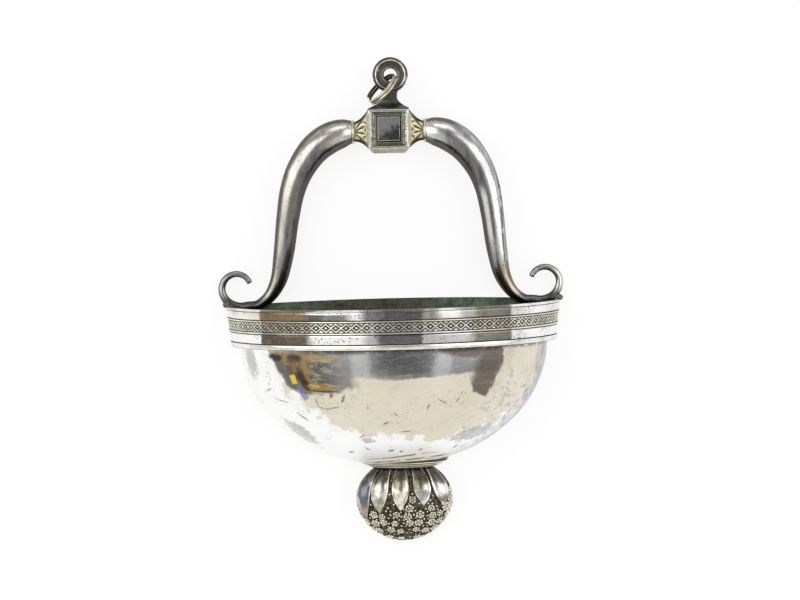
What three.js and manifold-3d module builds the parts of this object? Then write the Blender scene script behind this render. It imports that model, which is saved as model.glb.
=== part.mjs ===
// Wall-hung holy water font in silver: a half-round basin with a flat back, a milled rim band,
// a scrolled tube handle with a square block, a suspension eye with a free split ring, and a
// half-round finial of leaves and rosettes.
// Millimetres. X points right, Y into the wall, Z up. The origin is on the rear face of the
// back sheet, on the centre line, level with the top of the rim.
import * as THREE from 'three';
import { mergeVertices } from 'three/addons/utils/BufferGeometryUtils.js';
import Module from 'manifold-3d';

const wasm = await Module();
wasm.setup();

// Fits and sheet metal
const SEAM = 0.3; // gap left between soldered or touching pieces
const BACK_THICK = 1.2; // flat sheets at the back of the basin and the finial
const BASIN_SHEET = 1.0;
const FRONT_OF_BACK = -(BACK_THICK + SEAM); // Y where the pieces in front of the back sheets begin

// Basin
const BODY_HALF = 76.5; // half width of the bowl just under the band
const BODY_DROP = 61.3; // depth of the bowl's round outline below that
const BODY_TOP = -20.0; // Z where the round outline starts
const DEPTH_SHARE = 0.8; // how deep the bowl is in front of the wall, for its half width
const FLOOR_HALF = 16.0; // half width of the flat seat at the bottom
const BACK_ARCH = 2.0; // rise of the back sheet's top edge in the middle

// Rim band
const RIM_OVERHANG = 6.8; // how far the rim stands out past the bowl
const RIM_HALF = BODY_HALF + RIM_OVERHANG; // half width at the very top
const BAND_SLOPE = 0.115; // how much the half width shrinks for each unit of drop
const BAND_THICK = 1.4;
const COVE_REACH = 2.6; // hollow moulding between the band and the bowl
const LIP_HEIGHT = 1.1;
const UPPER_STRIP = 3.7;
const FILLET_HEIGHT = 0.9;
const LOZENGE_HEIGHT = 4.2;
const BEAD_HEIGHT = 1.0;
const LOWER_STRIP = 4.5;
const STEP_HEIGHT = 2.5;
const LIP_PROUD = 0.35;
const BEAD_PROUD = 0.35;
const LOZENGE_COUNT = 46;
const LOZENGE_RISE = 0.35;

// Handle tubes: share of the way out from the ferrule to the scroll's centre, share of the
// height of the ferrule, and tube radius, where the run needs a point
const BLOCK_LOW = 77.2;
const TUBE_LIFT = 8.2; // the tubes leave the block a little below its middle
const TUBE_START_Z = BLOCK_LOW + TUBE_LIFT;
const TUBE_START_RADIUS = 5.7;
const ARM_ROUTE = [
  [0.07, 0.994, 7.0],
  [0.185, 0.968, 7.7],
  [0.316, 0.905, 7.55],
  [0.439, 0.79, 6.9],
  [0.509, 0.67, 6.3],
  [0.554, 0.504, 5.7],
  [0.591, 0.304, 5.1],
  [0.641, 0.143, 4.1],
  [0.723, 0.049, 3.1],
  [0.824, 0.001, 2.6],
];
const ARM_LEAN = -0.9; // both tubes lean to the left at their feet
const TUBE_WALL = 0.9;
const BORE_END = 0.45; // share of the tube's run that is hollow
const SCROLL_INSET = 6.5;
const SCROLL_X = RIM_HALF - SCROLL_INSET;
const SCROLL_Z = 9.0;
const SCROLL_START_RADIUS = 10.9;
const SCROLL_END_RADIUS = 6.9;
const SCROLL_START_DEG = -122;
const SCROLL_END_DEG = 161;
const SCROLL_TIGHTEN = 5; // how fast the scroll draws in
const WIRE_START = 2.45; // radius of the tapered wire where the scroll begins
const WIRE_END = 1.35;
const WIRE_TAPER = 0.6; // below 1 the wire thins early

// Block, ferrules and eye
const BLOCK_HALF = 9.9;
const BLOCK_DEPTH = 17.0;
const BLOCK_TALL = 18.6;
const BLOCK_HIGH = BLOCK_LOW + BLOCK_TALL;
const BLOCK_WALL = 1.6;
const BLOCK_BACK_THICK = 1.0;
const WINDOW_WIDE = 12.4;
const WINDOW_HIGH = 13.2;
const FRAME_BORDER = 1.5;
const FRAME_THICK = 0.8;
const PANEL_THICK = 0.8;
const PANEL_SUNK = 0.9;
const FOOT_DROP = 2.4;
const FOOT_TAPER = 2.4;
const FERRULE_LENGTH = 6.8;
const FERRULE_NARROW = 4.9;
const FERRULE_FLARE = 1.8;
const LEAF_RISE = 0.7;
const LEAF_LOBES = 3;
const RING_THICK = 1.0; // thin rings where the tubes meet the ferrules
const RING_CROWN = 0.2;
const SPIGOT_LENGTH = 6.0;
const EYE_X = 1.3; // the eye sits a little off the block's centre
const EYE_RISE = 17.4;
const EYE_Z = BLOCK_HIGH + EYE_RISE;
const EYE_OUTER = 8.75;
const EYE_HOLE = 3.1;
const EYE_STEP = 7.2; // radius of the raised line on the eye's face
const EYE_LIP = 0.6;
const EYE_HALF_THICK = 2.5;
const EYE_STEM_HALF = 3.2;
const EYE_STEM_DEEP_HALF = 2.25;
const EYE_FOOT_HEIGHT = 6.5;
const EYE_FOOT_EDGE = 0.7;
const EYE_FOOT_FLARE = 1.9; // seen from the front
const EYE_FOOT_SIDE_FLARE = 3.2; // seen from the side

// Split ring: two turns of wire, lying down to the left as it was left
const SPLIT_RADIUS = 8.5;
const SPLIT_WIRE = 0.7;
const SPLIT_PITCH = 1.5;
const SPLIT_TURNS = 2;
const SPLIT_START_DEG = 27; // where the wire's cut ends lie, from the far end
const SPLIT_X = -4.0; // centre of the ring from the centre of the eye
const SPLIT_Y = -3.5;
const SPLIT_Z = -6.8;
const SPLIT_LIE_DEG = 226; // direction of its far end, seen from the front
const SPLIT_TILT_DEG = 15; // turn of the ring's face towards the viewer
const SPLIT_LEAN_DEG = 5; // how far its far end leans out from the wall

// Collar and finial
const FINIAL_SHIFT = 3.5; // the finial sits off the centre line
const COLLAR_TOP_HALF = 22.0;
const COLLAR_TAPER = 5.8;
const COLLAR_LOW_HALF = COLLAR_TOP_HALF - COLLAR_TAPER;
const COLLAR_DROP = 2.3; // how far the collar reaches below the bowl's seat
const COLLAR_GRIP = 2.5; // how far the collar reaches up round the bowl's seat
const COLLAR_LEAD = 0.8; // the first ridge starts this far above the seat
const COLLAR_SWEEP = 0.7; // below 1 the collar draws in early
const COLLAR_RIDGES = 3;
const COLLAR_RIDGE_PROUD = 0.5;
const COLLAR_INNER_HALF = 11.0;
const FINIAL_OVERHANG = 2.0; // how far the finial stands out past the collar's top
const FINIAL_HALF = COLLAR_TOP_HALF + FINIAL_OVERHANG;
const FINIAL_DEPTH = 13.0;
const FINIAL_UPPER = 20.0; // reach of the curve above the widest place
const FINIAL_SHOULDER = 15.6; // how much of that reach is there
const FINIAL_LOWER = 21.0;
const FINIAL_GAP = 0.6; // between the collar and the finial
const FINIAL_SHEET = 1.2;
const LOWER_POINTING = 1.85; // 2 would be an ellipse, less is more pointed
const PETAL_TURNS_DEG = [38, 67, 95, 122, 149];
const PETAL_LENGTHS = [17.8, 17.4, 19.3, 20.7, 23.5];
const PETAL_WIDTH = 8.6;
const PETAL_EDGE = 0.5;
const PETAL_CROWN = 1.7;
const ROSETTE_RADIUS = 1.9;
const ROSETTE_RISE = 0.9;
const ROSETTE_PITCH = 4.3;
const ROSETTE_FIRST_ROW = 12.4; // below the finial's top
const ROSETTE_ROW_STEP = 3.5;
const ROSETTE_ROW_COUNT = 7;
const STUD_RADIUS = 2.0;
const STUD_OUT = 5.5;
const STUD_Y = FRONT_OF_BACK - STUD_OUT;
const STUD_HEAD = 3.2;
const NUT_RADIUS = 4.0;
const NUT_HEIGHT = 2.4;
const STUD_HEAD_THICK = 1.2;
const STUD_END = 1.2; // how far the stud stands out of the nut
const DRILL_LENGTH = 6.0;

// Solder lumps at the rim ends
const LUMP_INSET = 0.6;
const LUMP_X = RIM_HALF - LUMP_INSET;
const LUMP_Y = -4.4;
const LUMP_Z = 0.7;
const LUMP_HALF = [2.5, 2.5, 1.9];

// Steps of the round shapes
const PLAN_STEPS = 24;
const COVE_STEPS = 3;
const BOWL_STEPS = 12;
const TUBE_SIDES = 10;
const ARM_STEPS = 38;
const SCROLL_STEPS = 14;
const HOLE_SIDES = 16;
const WELD = 1e-4;

const silver = new THREE.MeshStandardMaterial({ color: 0xcfcbc0, metalness: 1, roughness: 0.28 });
const dulled = new THREE.MeshStandardMaterial({ color: 0x8f8a7c, metalness: 1, roughness: 0.42 });
const oxidised = new THREE.MeshStandardMaterial({ color: 0x4d4a45, metalness: 0.9, roughness: 0.5 });
const gilt = new THREE.MeshStandardMaterial({ color: 0xb9ab83, metalness: 1, roughness: 0.38 });
const verdigris = new THREE.MeshStandardMaterial({ color: 0x55634f, metalness: 0.3, roughness: 0.8 });

const radians = THREE.MathUtils.degToRad;
const lerp = THREE.MathUtils.lerp;
const smooth = THREE.MathUtils.smoothstep;
const vector = (x, y, z) => new THREE.Vector3(x, y, z);
const span = (count) => Array.from({ length: count }, (_, index) => index);

// Welds shared points, drops collapsed triangles and turns the faces outwards
function weld(loose) {
  loose.deleteAttribute('normal');
  loose.deleteAttribute('uv');
  const geometry = mergeVertices(loose, WELD);
  const old = geometry.getIndex().array;
  const kept = [];
  for (let i = 0; i < old.length; i += 3) {
    const [a, b, c] = [old[i], old[i + 1], old[i + 2]];
    if (a !== b && b !== c && c !== a) kept.push([a, b, c]);
  }
  const place = geometry.getAttribute('position');
  const corner = (index) => vector(place.getX(index), place.getY(index), place.getZ(index));
  const volume = kept.reduce((sum, [a, b, c]) => sum + corner(a).dot(corner(b).cross(corner(c))), 0);
  geometry.setIndex(kept.flatMap(([a, b, c]) => (volume < 0 ? [a, c, b] : [a, b, c])));
  return geometry;
}

function closedGeometry(points, triangles) {
  const loose = new THREE.BufferGeometry();
  const numbers = points.flatMap((point) => point.toArray());
  loose.setAttribute('position', new THREE.Float32BufferAttribute(numbers, 3));
  loose.setIndex(triangles.flat());
  return weld(loose);
}

// Triangles that close a flat ring of points
function capTriangles(ring, start) {
  const normal = vector(0, 0, 0);
  ring.forEach((point, index) => normal.add(point.clone().cross(ring[(index + 1) % ring.length])));
  if (normal.length() < WELD) return [];
  normal.normalize();
  const pole = Math.abs(normal.z) < 0.9 ? vector(0, 0, 1) : vector(1, 0, 0);
  const across = pole.cross(normal).normalize();
  const along = normal.clone().cross(across);
  const flat = ring.map((point) => new THREE.Vector2(point.dot(across), point.dot(along)));
  return THREE.ShapeUtils.triangulateShape(flat, []).map((face) => face.map((index) => start + index));
}

// A solid skin through equal rings of points, closed by flat caps
function loft(rings) {
  const count = rings[0].length;
  const end = (rings.length - 1) * count;
  const triangles = [];
  for (let here = 0; here < end; here += count) {
    const next = here + count;
    for (let j = 0; j < count; j += 1) {
      const k = (j + 1) % count;
      triangles.push([here + j, next + j, next + k]);
      triangles.push([here + j, next + k, here + k]);
    }
  }
  triangles.push(...capTriangles(rings[0], 0));
  triangles.push(...capTriangles(rings[rings.length - 1], end).map(([a, b, c]) => [a, c, b]));
  return closedGeometry(rings.flat(), triangles);
}

// From a geometry to a solid for joining and cutting, and back
function solidOf(geometry) {
  const merged = weld(geometry.clone());
  const vertProperties = new Float32Array(merged.getAttribute('position').array);
  const triVerts = new Uint32Array(merged.getIndex().array);
  return new wasm.Manifold(new wasm.Mesh({ numProp: 3, vertProperties, triVerts }));
}

function geometryOf(solid) {
  const { numProp, vertProperties, triVerts } = solid.getMesh();
  const geometry = new THREE.BufferGeometry();
  const numbers = [];
  for (let i = 0; i < vertProperties.length; i += numProp) {
    numbers.push(vertProperties[i], vertProperties[i + 1], vertProperties[i + 2]);
  }
  geometry.setAttribute('position', new THREE.Float32BufferAttribute(numbers, 3));
  geometry.setIndex(Array.from(triVerts));
  return geometry;
}

const font = new THREE.Group();
const SIDES = [[1, 'right'], [-1, 'left']];

function place(name, geometry, material) {
  geometry.computeVertexNormals();
  const mesh = new THREE.Mesh(geometry, material);
  mesh.name = name;
  font.add(mesh);
}

const box = (wide, deep, high, x, y, z) => new THREE.BoxGeometry(wide, deep, high).translate(x, y, z);

// An upright drill for the stud's hole
function studDrill(z) {
  const radius = STUD_RADIUS + SEAM;
  const drill = new THREE.CylinderGeometry(radius, radius, DRILL_LENGTH, HOLE_SIDES);
  return solidOf(drill.rotateX(Math.PI / 2).translate(FINIAL_SHIFT, STUD_Y, z));
}

// Sweeps a closed profile of [half width, half depth, Z] around the front half of the basin
function halfRound(profile, steps = PLAN_STEPS, shift = 0) {
  const rings = span(steps + 1).map((step) => {
    const turn = (Math.PI * step) / steps;
    return profile.map(([half, deep, z]) => {
      const x = half * Math.cos(turn) + shift;
      return vector(x, FRONT_OF_BACK - deep * Math.sin(turn), z);
    });
  });
  return loft(rings);
}

// Plan of the band: it keeps the same distance from the bowl all round
const bandDepth = (half) => half - BODY_HALF * (1 - DEPTH_SHARE);
const bandPoint = (half, z) => [half, bandDepth(half), z];
const bandHalf = (z) => RIM_HALF + BAND_SLOPE * z;
const wallHalf = (z) => bandHalf(z) - BAND_THICK - SEAM;

// Band heights, stacked downwards from the rim
const LIP_LOW = -LIP_HEIGHT;
const UPPER_TOP = LIP_LOW - SEAM;
const FILLET_TOP = UPPER_TOP - UPPER_STRIP - SEAM;
const LOZENGE_TOP = FILLET_TOP - FILLET_HEIGHT - SEAM;
const BEAD_TOP = LOZENGE_TOP - LOZENGE_HEIGHT - SEAM;
const LOWER_TOP = BEAD_TOP - BEAD_HEIGHT - SEAM;
const STEP_TOP = LOWER_TOP - LOWER_STRIP - SEAM;
const STEP_LOW = STEP_TOP - STEP_HEIGHT;

// Outline of the bowl, from the cove under the band down to the flat seat
const FLOOR_TURN = Math.acos(FLOOR_HALF / BODY_HALF);
const FLOOR_Z = BODY_TOP - BODY_DROP * Math.sin(FLOOR_TURN);
const COLLAR_LOW = FLOOR_Z - COLLAR_DROP;
const FINIAL_TOP = COLLAR_LOW - FINIAL_GAP;
const FINIAL_WIDEST = FINIAL_TOP - FINIAL_SHOULDER;

function bowlOutline(inset) {
  const points = [bandPoint(wallHalf(UPPER_TOP) - inset, UPPER_TOP)];
  const coveTop = STEP_LOW + SEAM;
  const outHalf = wallHalf(coveTop);
  const coveReach = outHalf - BODY_HALF;
  for (const step of span(COVE_STEPS + 1)) {
    const turn = (Math.PI / 2) * (step / COVE_STEPS);
    const half = outHalf - coveReach * Math.sin(turn) - inset;
    points.push(bandPoint(half, coveTop - COVE_REACH * (1 - Math.cos(turn))));
  }
  const startTurn = Math.asin((BODY_TOP - (coveTop - COVE_REACH)) / BODY_DROP);
  for (const step of span(BOWL_STEPS)) {
    const turn = lerp(startTurn, FLOOR_TURN, (step + 1) / BOWL_STEPS);
    const half = (BODY_HALF - inset) * Math.cos(turn);
    const deep = (BODY_HALF * DEPTH_SHARE - inset) * Math.cos(turn);
    points.push([half, deep, BODY_TOP - (BODY_DROP - inset) * Math.sin(turn)]);
  }
  return points;
}

// Finial surface: half width and depth at a height, and a point on it by the turn round it
function finialSize(z, inset = 0) {
  const above = z > FINIAL_WIDEST;
  const reach = above ? FINIAL_UPPER : FINIAL_LOWER;
  const power = above ? 2 : LOWER_POINTING;
  const share = Math.min(Math.abs(z - FINIAL_WIDEST) / reach, 1);
  const wide = (1 - share ** power) ** (1 / power);
  const deep = above ? (1 + wide) / 2 : wide;
  const shrunk = (size) => Math.max(size - inset, 0);
  return { half: shrunk(FINIAL_HALF * wide), deep: shrunk(FINIAL_DEPTH * deep) };
}

function finialPoint(turn, z, lift = 0) {
  const { half, deep } = finialSize(z);
  const x = half * Math.cos(turn);
  const y = -deep * Math.sin(turn);
  const nearby = 0.1;
  const steepest = 3;
  const slope = (finialSize(z + nearby).half - finialSize(z - nearby).half) / (2 * nearby);
  const normal = vector(x / half ** 2, y / deep ** 2, 0).normalize();
  normal.z = -THREE.MathUtils.clamp(slope, -steepest, steepest);
  normal.normalize().multiplyScalar(lift);
  return vector(FINIAL_SHIFT + x, FRONT_OF_BACK + y, z).add(normal);
}

// Handle tube: the route carries X, the tube's radius and Z; it stands out from the wall at the
// block and lies against the back sheet at the scroll
function armGuide() {
  const start = [TUBE_START_X, TUBE_START_RADIUS, TUBE_START_Z];
  const route = [vector(...start)];
  for (const [out, up, radius] of ARM_ROUTE) {
    route.push(vector(lerp(TUBE_START_X, SCROLL_X, out), radius, up * TUBE_START_Z));
  }
  for (const step of span(SCROLL_STEPS + 1)) {
    const share = step / SCROLL_STEPS;
    const turn = radians(lerp(SCROLL_START_DEG, SCROLL_END_DEG, share));
    const draw = Math.exp(-SCROLL_TIGHTEN * share);
    const reach = lerp(SCROLL_END_RADIUS, SCROLL_START_RADIUS, draw);
    const wire = lerp(WIRE_START, WIRE_END, share ** WIRE_TAPER);
    route.push(vector(SCROLL_X + reach * Math.cos(turn), wire, SCROLL_Z + reach * Math.sin(turn)));
  }
  return new THREE.CatmullRomCurve3(route, false, 'centripetal');
}

const FERRULE_END = BLOCK_HALF + SEAM + FERRULE_LENGTH;
const TUBE_START_X = FERRULE_END + RING_THICK + 2 * SEAM;
const ARM_GUIDE = armGuide();
const HANDLE_Y = FRONT_OF_BACK - BLOCK_DEPTH / 2;

function armRing(share, side, grow, reach = 0) {
  const at = ARM_GUIDE.getPointAt(share);
  const heading = share === 0 ? vector(1, 0, 0) : ARM_GUIDE.getTangentAt(share).setY(0).normalize();
  const radius = at.y + grow;
  const up = smooth(at.z, 0, BLOCK_LOW);
  const y = lerp(FRONT_OF_BACK - at.y, HANDLE_Y, up);
  const lean = ARM_LEAN * (1 - up);
  return span(TUBE_SIDES).map((index) => {
    const turn = (2 * Math.PI * (index + 0.5)) / TUBE_SIDES;
    const out = radius * Math.cos(turn);
    const x = side * (at.x + heading.x * reach - heading.z * out) + lean;
    return vector(x, y + radius * Math.sin(turn), at.z + heading.z * reach + heading.x * out);
  });
}

function armSolid(side, grow) {
  return solidOf(loft(span(ARM_STEPS + 1).map((step) => armRing(step / ARM_STEPS, side, grow))));
}

function boreSolid(side) {
  const steps = Math.round(ARM_STEPS * BORE_END);
  const rings = span(steps + 1).map((step) => armRing(step / ARM_STEPS, side, -TUBE_WALL));
  rings.unshift(armRing(0, side, -TUBE_WALL, -1));
  return solidOf(loft(rings));
}

// Pieces of the basin
function addBackSheet() {
  const outline = new THREE.Shape();
  const sides = bowlOutline(0).map(([half, , z]) => [half, z]);
  const rim = [[RIM_HALF, 0], [bandHalf(STEP_LOW), STEP_LOW + SEAM]];
  const right = rim.concat(sides.slice(2));
  const collar = [[COLLAR_TOP_HALF, FLOOR_Z + COLLAR_LEAD], [COLLAR_LOW_HALF, COLLAR_LOW]];
  const archSteps = 12;
  outline.moveTo(-RIM_HALF, 0);
  for (const step of span(archSteps).slice(1)) {
    const x = lerp(-RIM_HALF, RIM_HALF, step / archSteps);
    outline.lineTo(x, BACK_ARCH * (1 - (x / RIM_HALF) ** 2));
  }
  right.slice(0, -1).forEach(([x, z]) => outline.lineTo(x, z));
  collar.forEach(([x, z]) => outline.lineTo(FINIAL_SHIFT + x, z));
  collar.reverse().forEach(([x, z]) => outline.lineTo(FINIAL_SHIFT - x, z));
  right.slice(1, -1).reverse().forEach(([x, z]) => outline.lineTo(-x, z));
  const sheet = new THREE.ExtrudeGeometry(outline, { depth: BACK_THICK, bevelEnabled: false });
  place('back_plate', sheet.rotateX(Math.PI / 2), dulled);
}

function notched(geometry, cutters) {
  const whole = solidOf(geometry);
  return geometryOf(cutters.reduce((solid, cutter) => solid.subtract(cutter), whole));
}

function addBowl(cutters) {
  const outer = bowlOutline(0);
  const inner = bowlOutline(BASIN_SHEET);
  const profile = [...outer, [0, 0, FLOOR_Z], [0, 0, FLOOR_Z + BASIN_SHEET], ...inner.reverse()];
  place('bowl_shell', notched(halfRound(profile), [...cutters, studDrill(FLOOR_Z)]), silver);
}

// A plain strip or a rounded wire of the band
function bandPiece(top, height, proud, rounded) {
  const low = top - height;
  const inside = (z) => bandPoint(wallHalf(z) + SEAM, z);
  const outside = (z, out) => bandPoint(bandHalf(z) + out, z);
  if (!rounded) return halfRound([inside(top), outside(top, 0), outside(low, 0), inside(low)]);
  const bulge = [0.5, 0.85, 1, 0.85, 0.5].map((share, index) => {
    return outside(lerp(top, low, index / 4), share * proud);
  });
  return halfRound([inside(top), ...bulge, inside(low)]);
}

function addLip(cutters) {
  const innerHalf = wallHalf(0) - BASIN_SHEET;
  const outerHalf = RIM_HALF + LIP_PROUD;
  const profile = [
    bandPoint(innerHalf, LIP_LOW),
    bandPoint(innerHalf, LIP_LOW / 2),
    bandPoint(lerp(innerHalf, outerHalf, 0.2), 0),
    bandPoint(lerp(innerHalf, outerHalf, 0.85), 0),
    bandPoint(outerHalf, LIP_LOW / 2),
    bandPoint(RIM_HALF, LIP_LOW),
  ];
  place('rim_lip', notched(halfRound(profile), cutters), silver);
}

// Milled strip: crossed ridges whose diamonds stand up in the middle of the strip
function addLozengeStrip() {
  const low = LOZENGE_TOP - LOZENGE_HEIGHT;
  const steps = LOZENGE_COUNT * 2;
  const rings = span(steps + 1).map((step) => {
    const turn = (Math.PI * step) / steps;
    const crossing = step % 2;
    return [0, 0.25, 0.5, 0.75, 1].map((share) => {
      const z = lerp(LOZENGE_TOP, low, share);
      const centre = share === 0.5;
      const edge = share === 0 || share === 1;
      const raised = crossing ? edge : centre;
      const half = bandHalf(z) - (raised || edge ? 0 : LOZENGE_RISE);
      return vector(half * Math.cos(turn), FRONT_OF_BACK - bandDepth(half) * Math.sin(turn), z);
    }).concat([low, LOZENGE_TOP].map((z) => {
      const half = wallHalf(z) + SEAM;
      return vector(half * Math.cos(turn), FRONT_OF_BACK - bandDepth(half) * Math.sin(turn), z);
    }));
  });
  place('lozenge_strip', loft(rings), dulled);
}

function addBand(cutters) {
  addLip(cutters);
  place('upper_strip', notched(bandPiece(UPPER_TOP, UPPER_STRIP, 0, false), cutters), silver);
  place('upper_fillet', bandPiece(FILLET_TOP, FILLET_HEIGHT, BEAD_PROUD, true), silver);
  addLozengeStrip();
  place('lower_bead', bandPiece(BEAD_TOP, BEAD_HEIGHT, BEAD_PROUD, true), silver);
  place('lower_strip', bandPiece(LOWER_TOP, LOWER_STRIP, 0, false), silver);
  place('step_moulding', bandPiece(STEP_TOP, STEP_HEIGHT, LIP_PROUD, true), silver);
}

// Handle
function addArms() {
  for (const [side, word] of SIDES) {
    place(`arm_${word}`, geometryOf(armSolid(side, 0).subtract(boreSolid(side))), dulled);
  }
}

// The whole band and bowl wall as one body, a seam's width larger, for cutting the solder lumps
function bandSpace() {
  const low = STEP_LOW;
  const profile = [
    bandPoint(wallHalf(0) - BASIN_SHEET - SEAM, SEAM),
    bandPoint(RIM_HALF + LIP_PROUD + SEAM, SEAM),
    bandPoint(bandHalf(low) + LIP_PROUD + SEAM, low),
    bandPoint(wallHalf(low) - BASIN_SHEET - SEAM, low),
  ];
  return solidOf(halfRound(profile));
}

function addSolderLumps(armSpaces) {
  const space = bandSpace();
  for (const [index, [side, word]] of SIDES.entries()) {
    const lump = new THREE.SphereGeometry(1, 12, 8).scale(...LUMP_HALF);
    lump.translate(side * LUMP_X, LUMP_Y, LUMP_Z);
    place(`solder_${word}`, notched(lump, [armSpaces[index], space]), verdigris);
  }
}

// Square rings of points, for the block's foot, the ferrules and the eye's foot
const square = (halfX, halfY, z, centreX = 0) => [
  vector(centreX + halfX, HANDLE_Y - halfY, z),
  vector(centreX + halfX, HANDLE_Y + halfY, z),
  vector(centreX - halfX, HANDLE_Y + halfY, z),
  vector(centreX - halfX, HANDLE_Y - halfY, z),
];

function addBlock() {
  const high = BLOCK_HIGH - BLOCK_LOW;
  const middle = (BLOCK_HIGH + BLOCK_LOW) / 2;
  const rear = FRONT_OF_BACK - BLOCK_BACK_THICK - SEAM;
  const front = FRONT_OF_BACK - BLOCK_DEPTH;
  const bodyDepth = rear - front;
  const bodyY = (rear + front) / 2;
  const body = box(2 * BLOCK_HALF, bodyDepth, high, 0, bodyY, middle);
  const hollowWide = 2 * (BLOCK_HALF - BLOCK_WALL);
  const hollow = box(hollowWide, bodyDepth, high - 2 * BLOCK_WALL, 0, bodyY + BLOCK_WALL, middle);
  const window = box(WINDOW_WIDE, 3 * BLOCK_WALL, WINDOW_HIGH, 0, front, middle);
  place('centre_block', notched(body, [solidOf(hollow), solidOf(window)]), dulled);

  const backY = FRONT_OF_BACK - BLOCK_BACK_THICK / 2;
  place('block_back', box(2 * BLOCK_HALF, BLOCK_BACK_THICK, high, 0, backY, middle), dulled);

  const frameY = front - SEAM - FRAME_THICK / 2;
  const frameWide = WINDOW_WIDE + 2 * FRAME_BORDER;
  const frameHigh = WINDOW_HIGH + 2 * FRAME_BORDER;
  const frame = box(frameWide, FRAME_THICK, frameHigh, 0, frameY, middle);
  const opening = box(WINDOW_WIDE, 3 * FRAME_THICK, WINDOW_HIGH, 0, frameY, middle);
  place('panel_frame', notched(frame, [solidOf(opening)]), gilt);

  const panelY = front + PANEL_SUNK + PANEL_THICK / 2;
  const panel = box(WINDOW_WIDE - 2 * SEAM, PANEL_THICK, WINDOW_HIGH - 2 * SEAM, 0, panelY, middle);
  place('sunk_panel', panel, oxidised);

  const footTop = BLOCK_LOW - SEAM;
  const footRings = [[0, footTop], [FOOT_TAPER, footTop - FOOT_DROP]].map(([taper, z]) => {
    return square(BLOCK_HALF - taper, BLOCK_DEPTH / 2 - taper, z);
  });
  place('block_foot', loft(footRings), silver);
}

// Ferrule: a square trumpet with a three-lobed leaf raised on its front face
function ferruleRing(share, side) {
  const flare = (1 - share) ** FERRULE_FLARE;
  const halfZ = lerp(FERRULE_NARROW, (BLOCK_HIGH - BLOCK_LOW) / 2 + SEAM, flare);
  const halfY = lerp(FERRULE_NARROW, BLOCK_DEPTH / 2, flare);
  const z = lerp((BLOCK_HIGH + BLOCK_LOW) / 2, TUBE_START_Z, share);
  const x = side * (BLOCK_HALF + SEAM + FERRULE_LENGTH * share);
  const frontCount = 2 * LEAF_LOBES;
  const front = span(frontCount + 1).map((index) => {
    const across = -1 + (2 * index) / frontCount;
    const leaf = index % 2 ? LEAF_RISE * Math.sin(Math.PI * share) : 0;
    return vector(x, HANDLE_Y - halfY - leaf, z + halfZ * across);
  });
  return front.concat([vector(x, HANDLE_Y + halfY, z + halfZ), vector(x, HANDLE_Y + halfY, z - halfZ)]);
}

const SPIGOT_RADIUS = TUBE_START_RADIUS - TUBE_WALL - SEAM;

function addFerrules() {
  for (const [side, word] of SIDES) {
    const trumpet = solidOf(loft(span(7).map((step) => ferruleRing(step / 6, side))));
    const peg = new THREE.CylinderGeometry(SPIGOT_RADIUS, SPIGOT_RADIUS, SPIGOT_LENGTH, HOLE_SIDES);
    const pegX = FERRULE_END - RING_THICK + SPIGOT_LENGTH / 2;
    peg.rotateZ(Math.PI / 2).translate(side * pegX, HANDLE_Y, TUBE_START_Z);
    place(`ferrule_${word}`, geometryOf(trumpet.add(solidOf(peg))), gilt);

    const hole = SPIGOT_RADIUS + SEAM;
    const rim = TUBE_START_RADIUS - RING_CROWN;
    const crest = TUBE_START_RADIUS + RING_CROWN;
    const section = [[hole, 0], [rim, 0], [crest, 0.5], [rim, 1], [hole, 1], [hole, 0]];
    const profile = section.map(([radius, share]) => new THREE.Vector2(radius, (share - 0.5) * RING_THICK));
    const ring = new THREE.LatheGeometry(profile, 20).rotateZ(Math.PI / 2);
    const ringX = side * (FERRULE_END + SEAM + RING_THICK / 2);
    ring.translate(ringX, HANDLE_Y, TUBE_START_Z);
    place(`tube_ring_${word}`, geometryOf(solidOf(ring)), silver);
  }
}

function addEye() {
  const footLow = BLOCK_HIGH + SEAM;
  const neckZ = footLow + EYE_FOOT_HEIGHT;
  const footSteps = 5;
  const rings = [square(BLOCK_HALF + SEAM, BLOCK_DEPTH / 2, footLow)];
  for (const step of span(footSteps + 1)) {
    const share = step / footSteps;
    const halfX = lerp(EYE_STEM_HALF, BLOCK_HALF + SEAM, (1 - share) ** EYE_FOOT_FLARE);
    const halfY = lerp(EYE_HALF_THICK, BLOCK_DEPTH / 2, (1 - share) ** EYE_FOOT_SIDE_FLARE);
    rings.push(square(halfX, halfY, lerp(footLow + EYE_FOOT_EDGE, neckZ, share), EYE_X * share));
  }
  place('eye_foot', loft(rings), dulled);

  const section = [
    [EYE_HOLE, 0],
    [EYE_HOLE + EYE_LIP / 2, 0.6],
    [EYE_HOLE + 2 * EYE_LIP, 0.88],
    [EYE_STEP - EYE_LIP, 0.8],
    [EYE_STEP, 1],
    [EYE_STEP + EYE_LIP / 2, 0.72],
    [EYE_OUTER, 0.45],
  ];
  const rear = section.slice(1).reverse().map(([radius, share]) => [radius, -share]);
  const profile = [...section, ...rear, section[0]].map(([radius, share]) => {
    return new THREE.Vector2(radius, share * EYE_HALF_THICK);
  });
  const loop = solidOf(new THREE.LatheGeometry(profile, 28));
  const stemTop = EYE_Z - EYE_STEP;
  const stemLow = neckZ + SEAM;
  const stemDeep = 2 * EYE_STEM_DEEP_HALF;
  const stemZ = (stemTop + stemLow) / 2;
  const stem = box(2 * EYE_STEM_HALF, stemDeep, stemTop - stemLow, EYE_X, HANDLE_Y, stemZ);
  place('suspension_eye', geometryOf(loop.translate([EYE_X, HANDLE_Y, EYE_Z]).add(solidOf(stem))), dulled);
}

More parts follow.
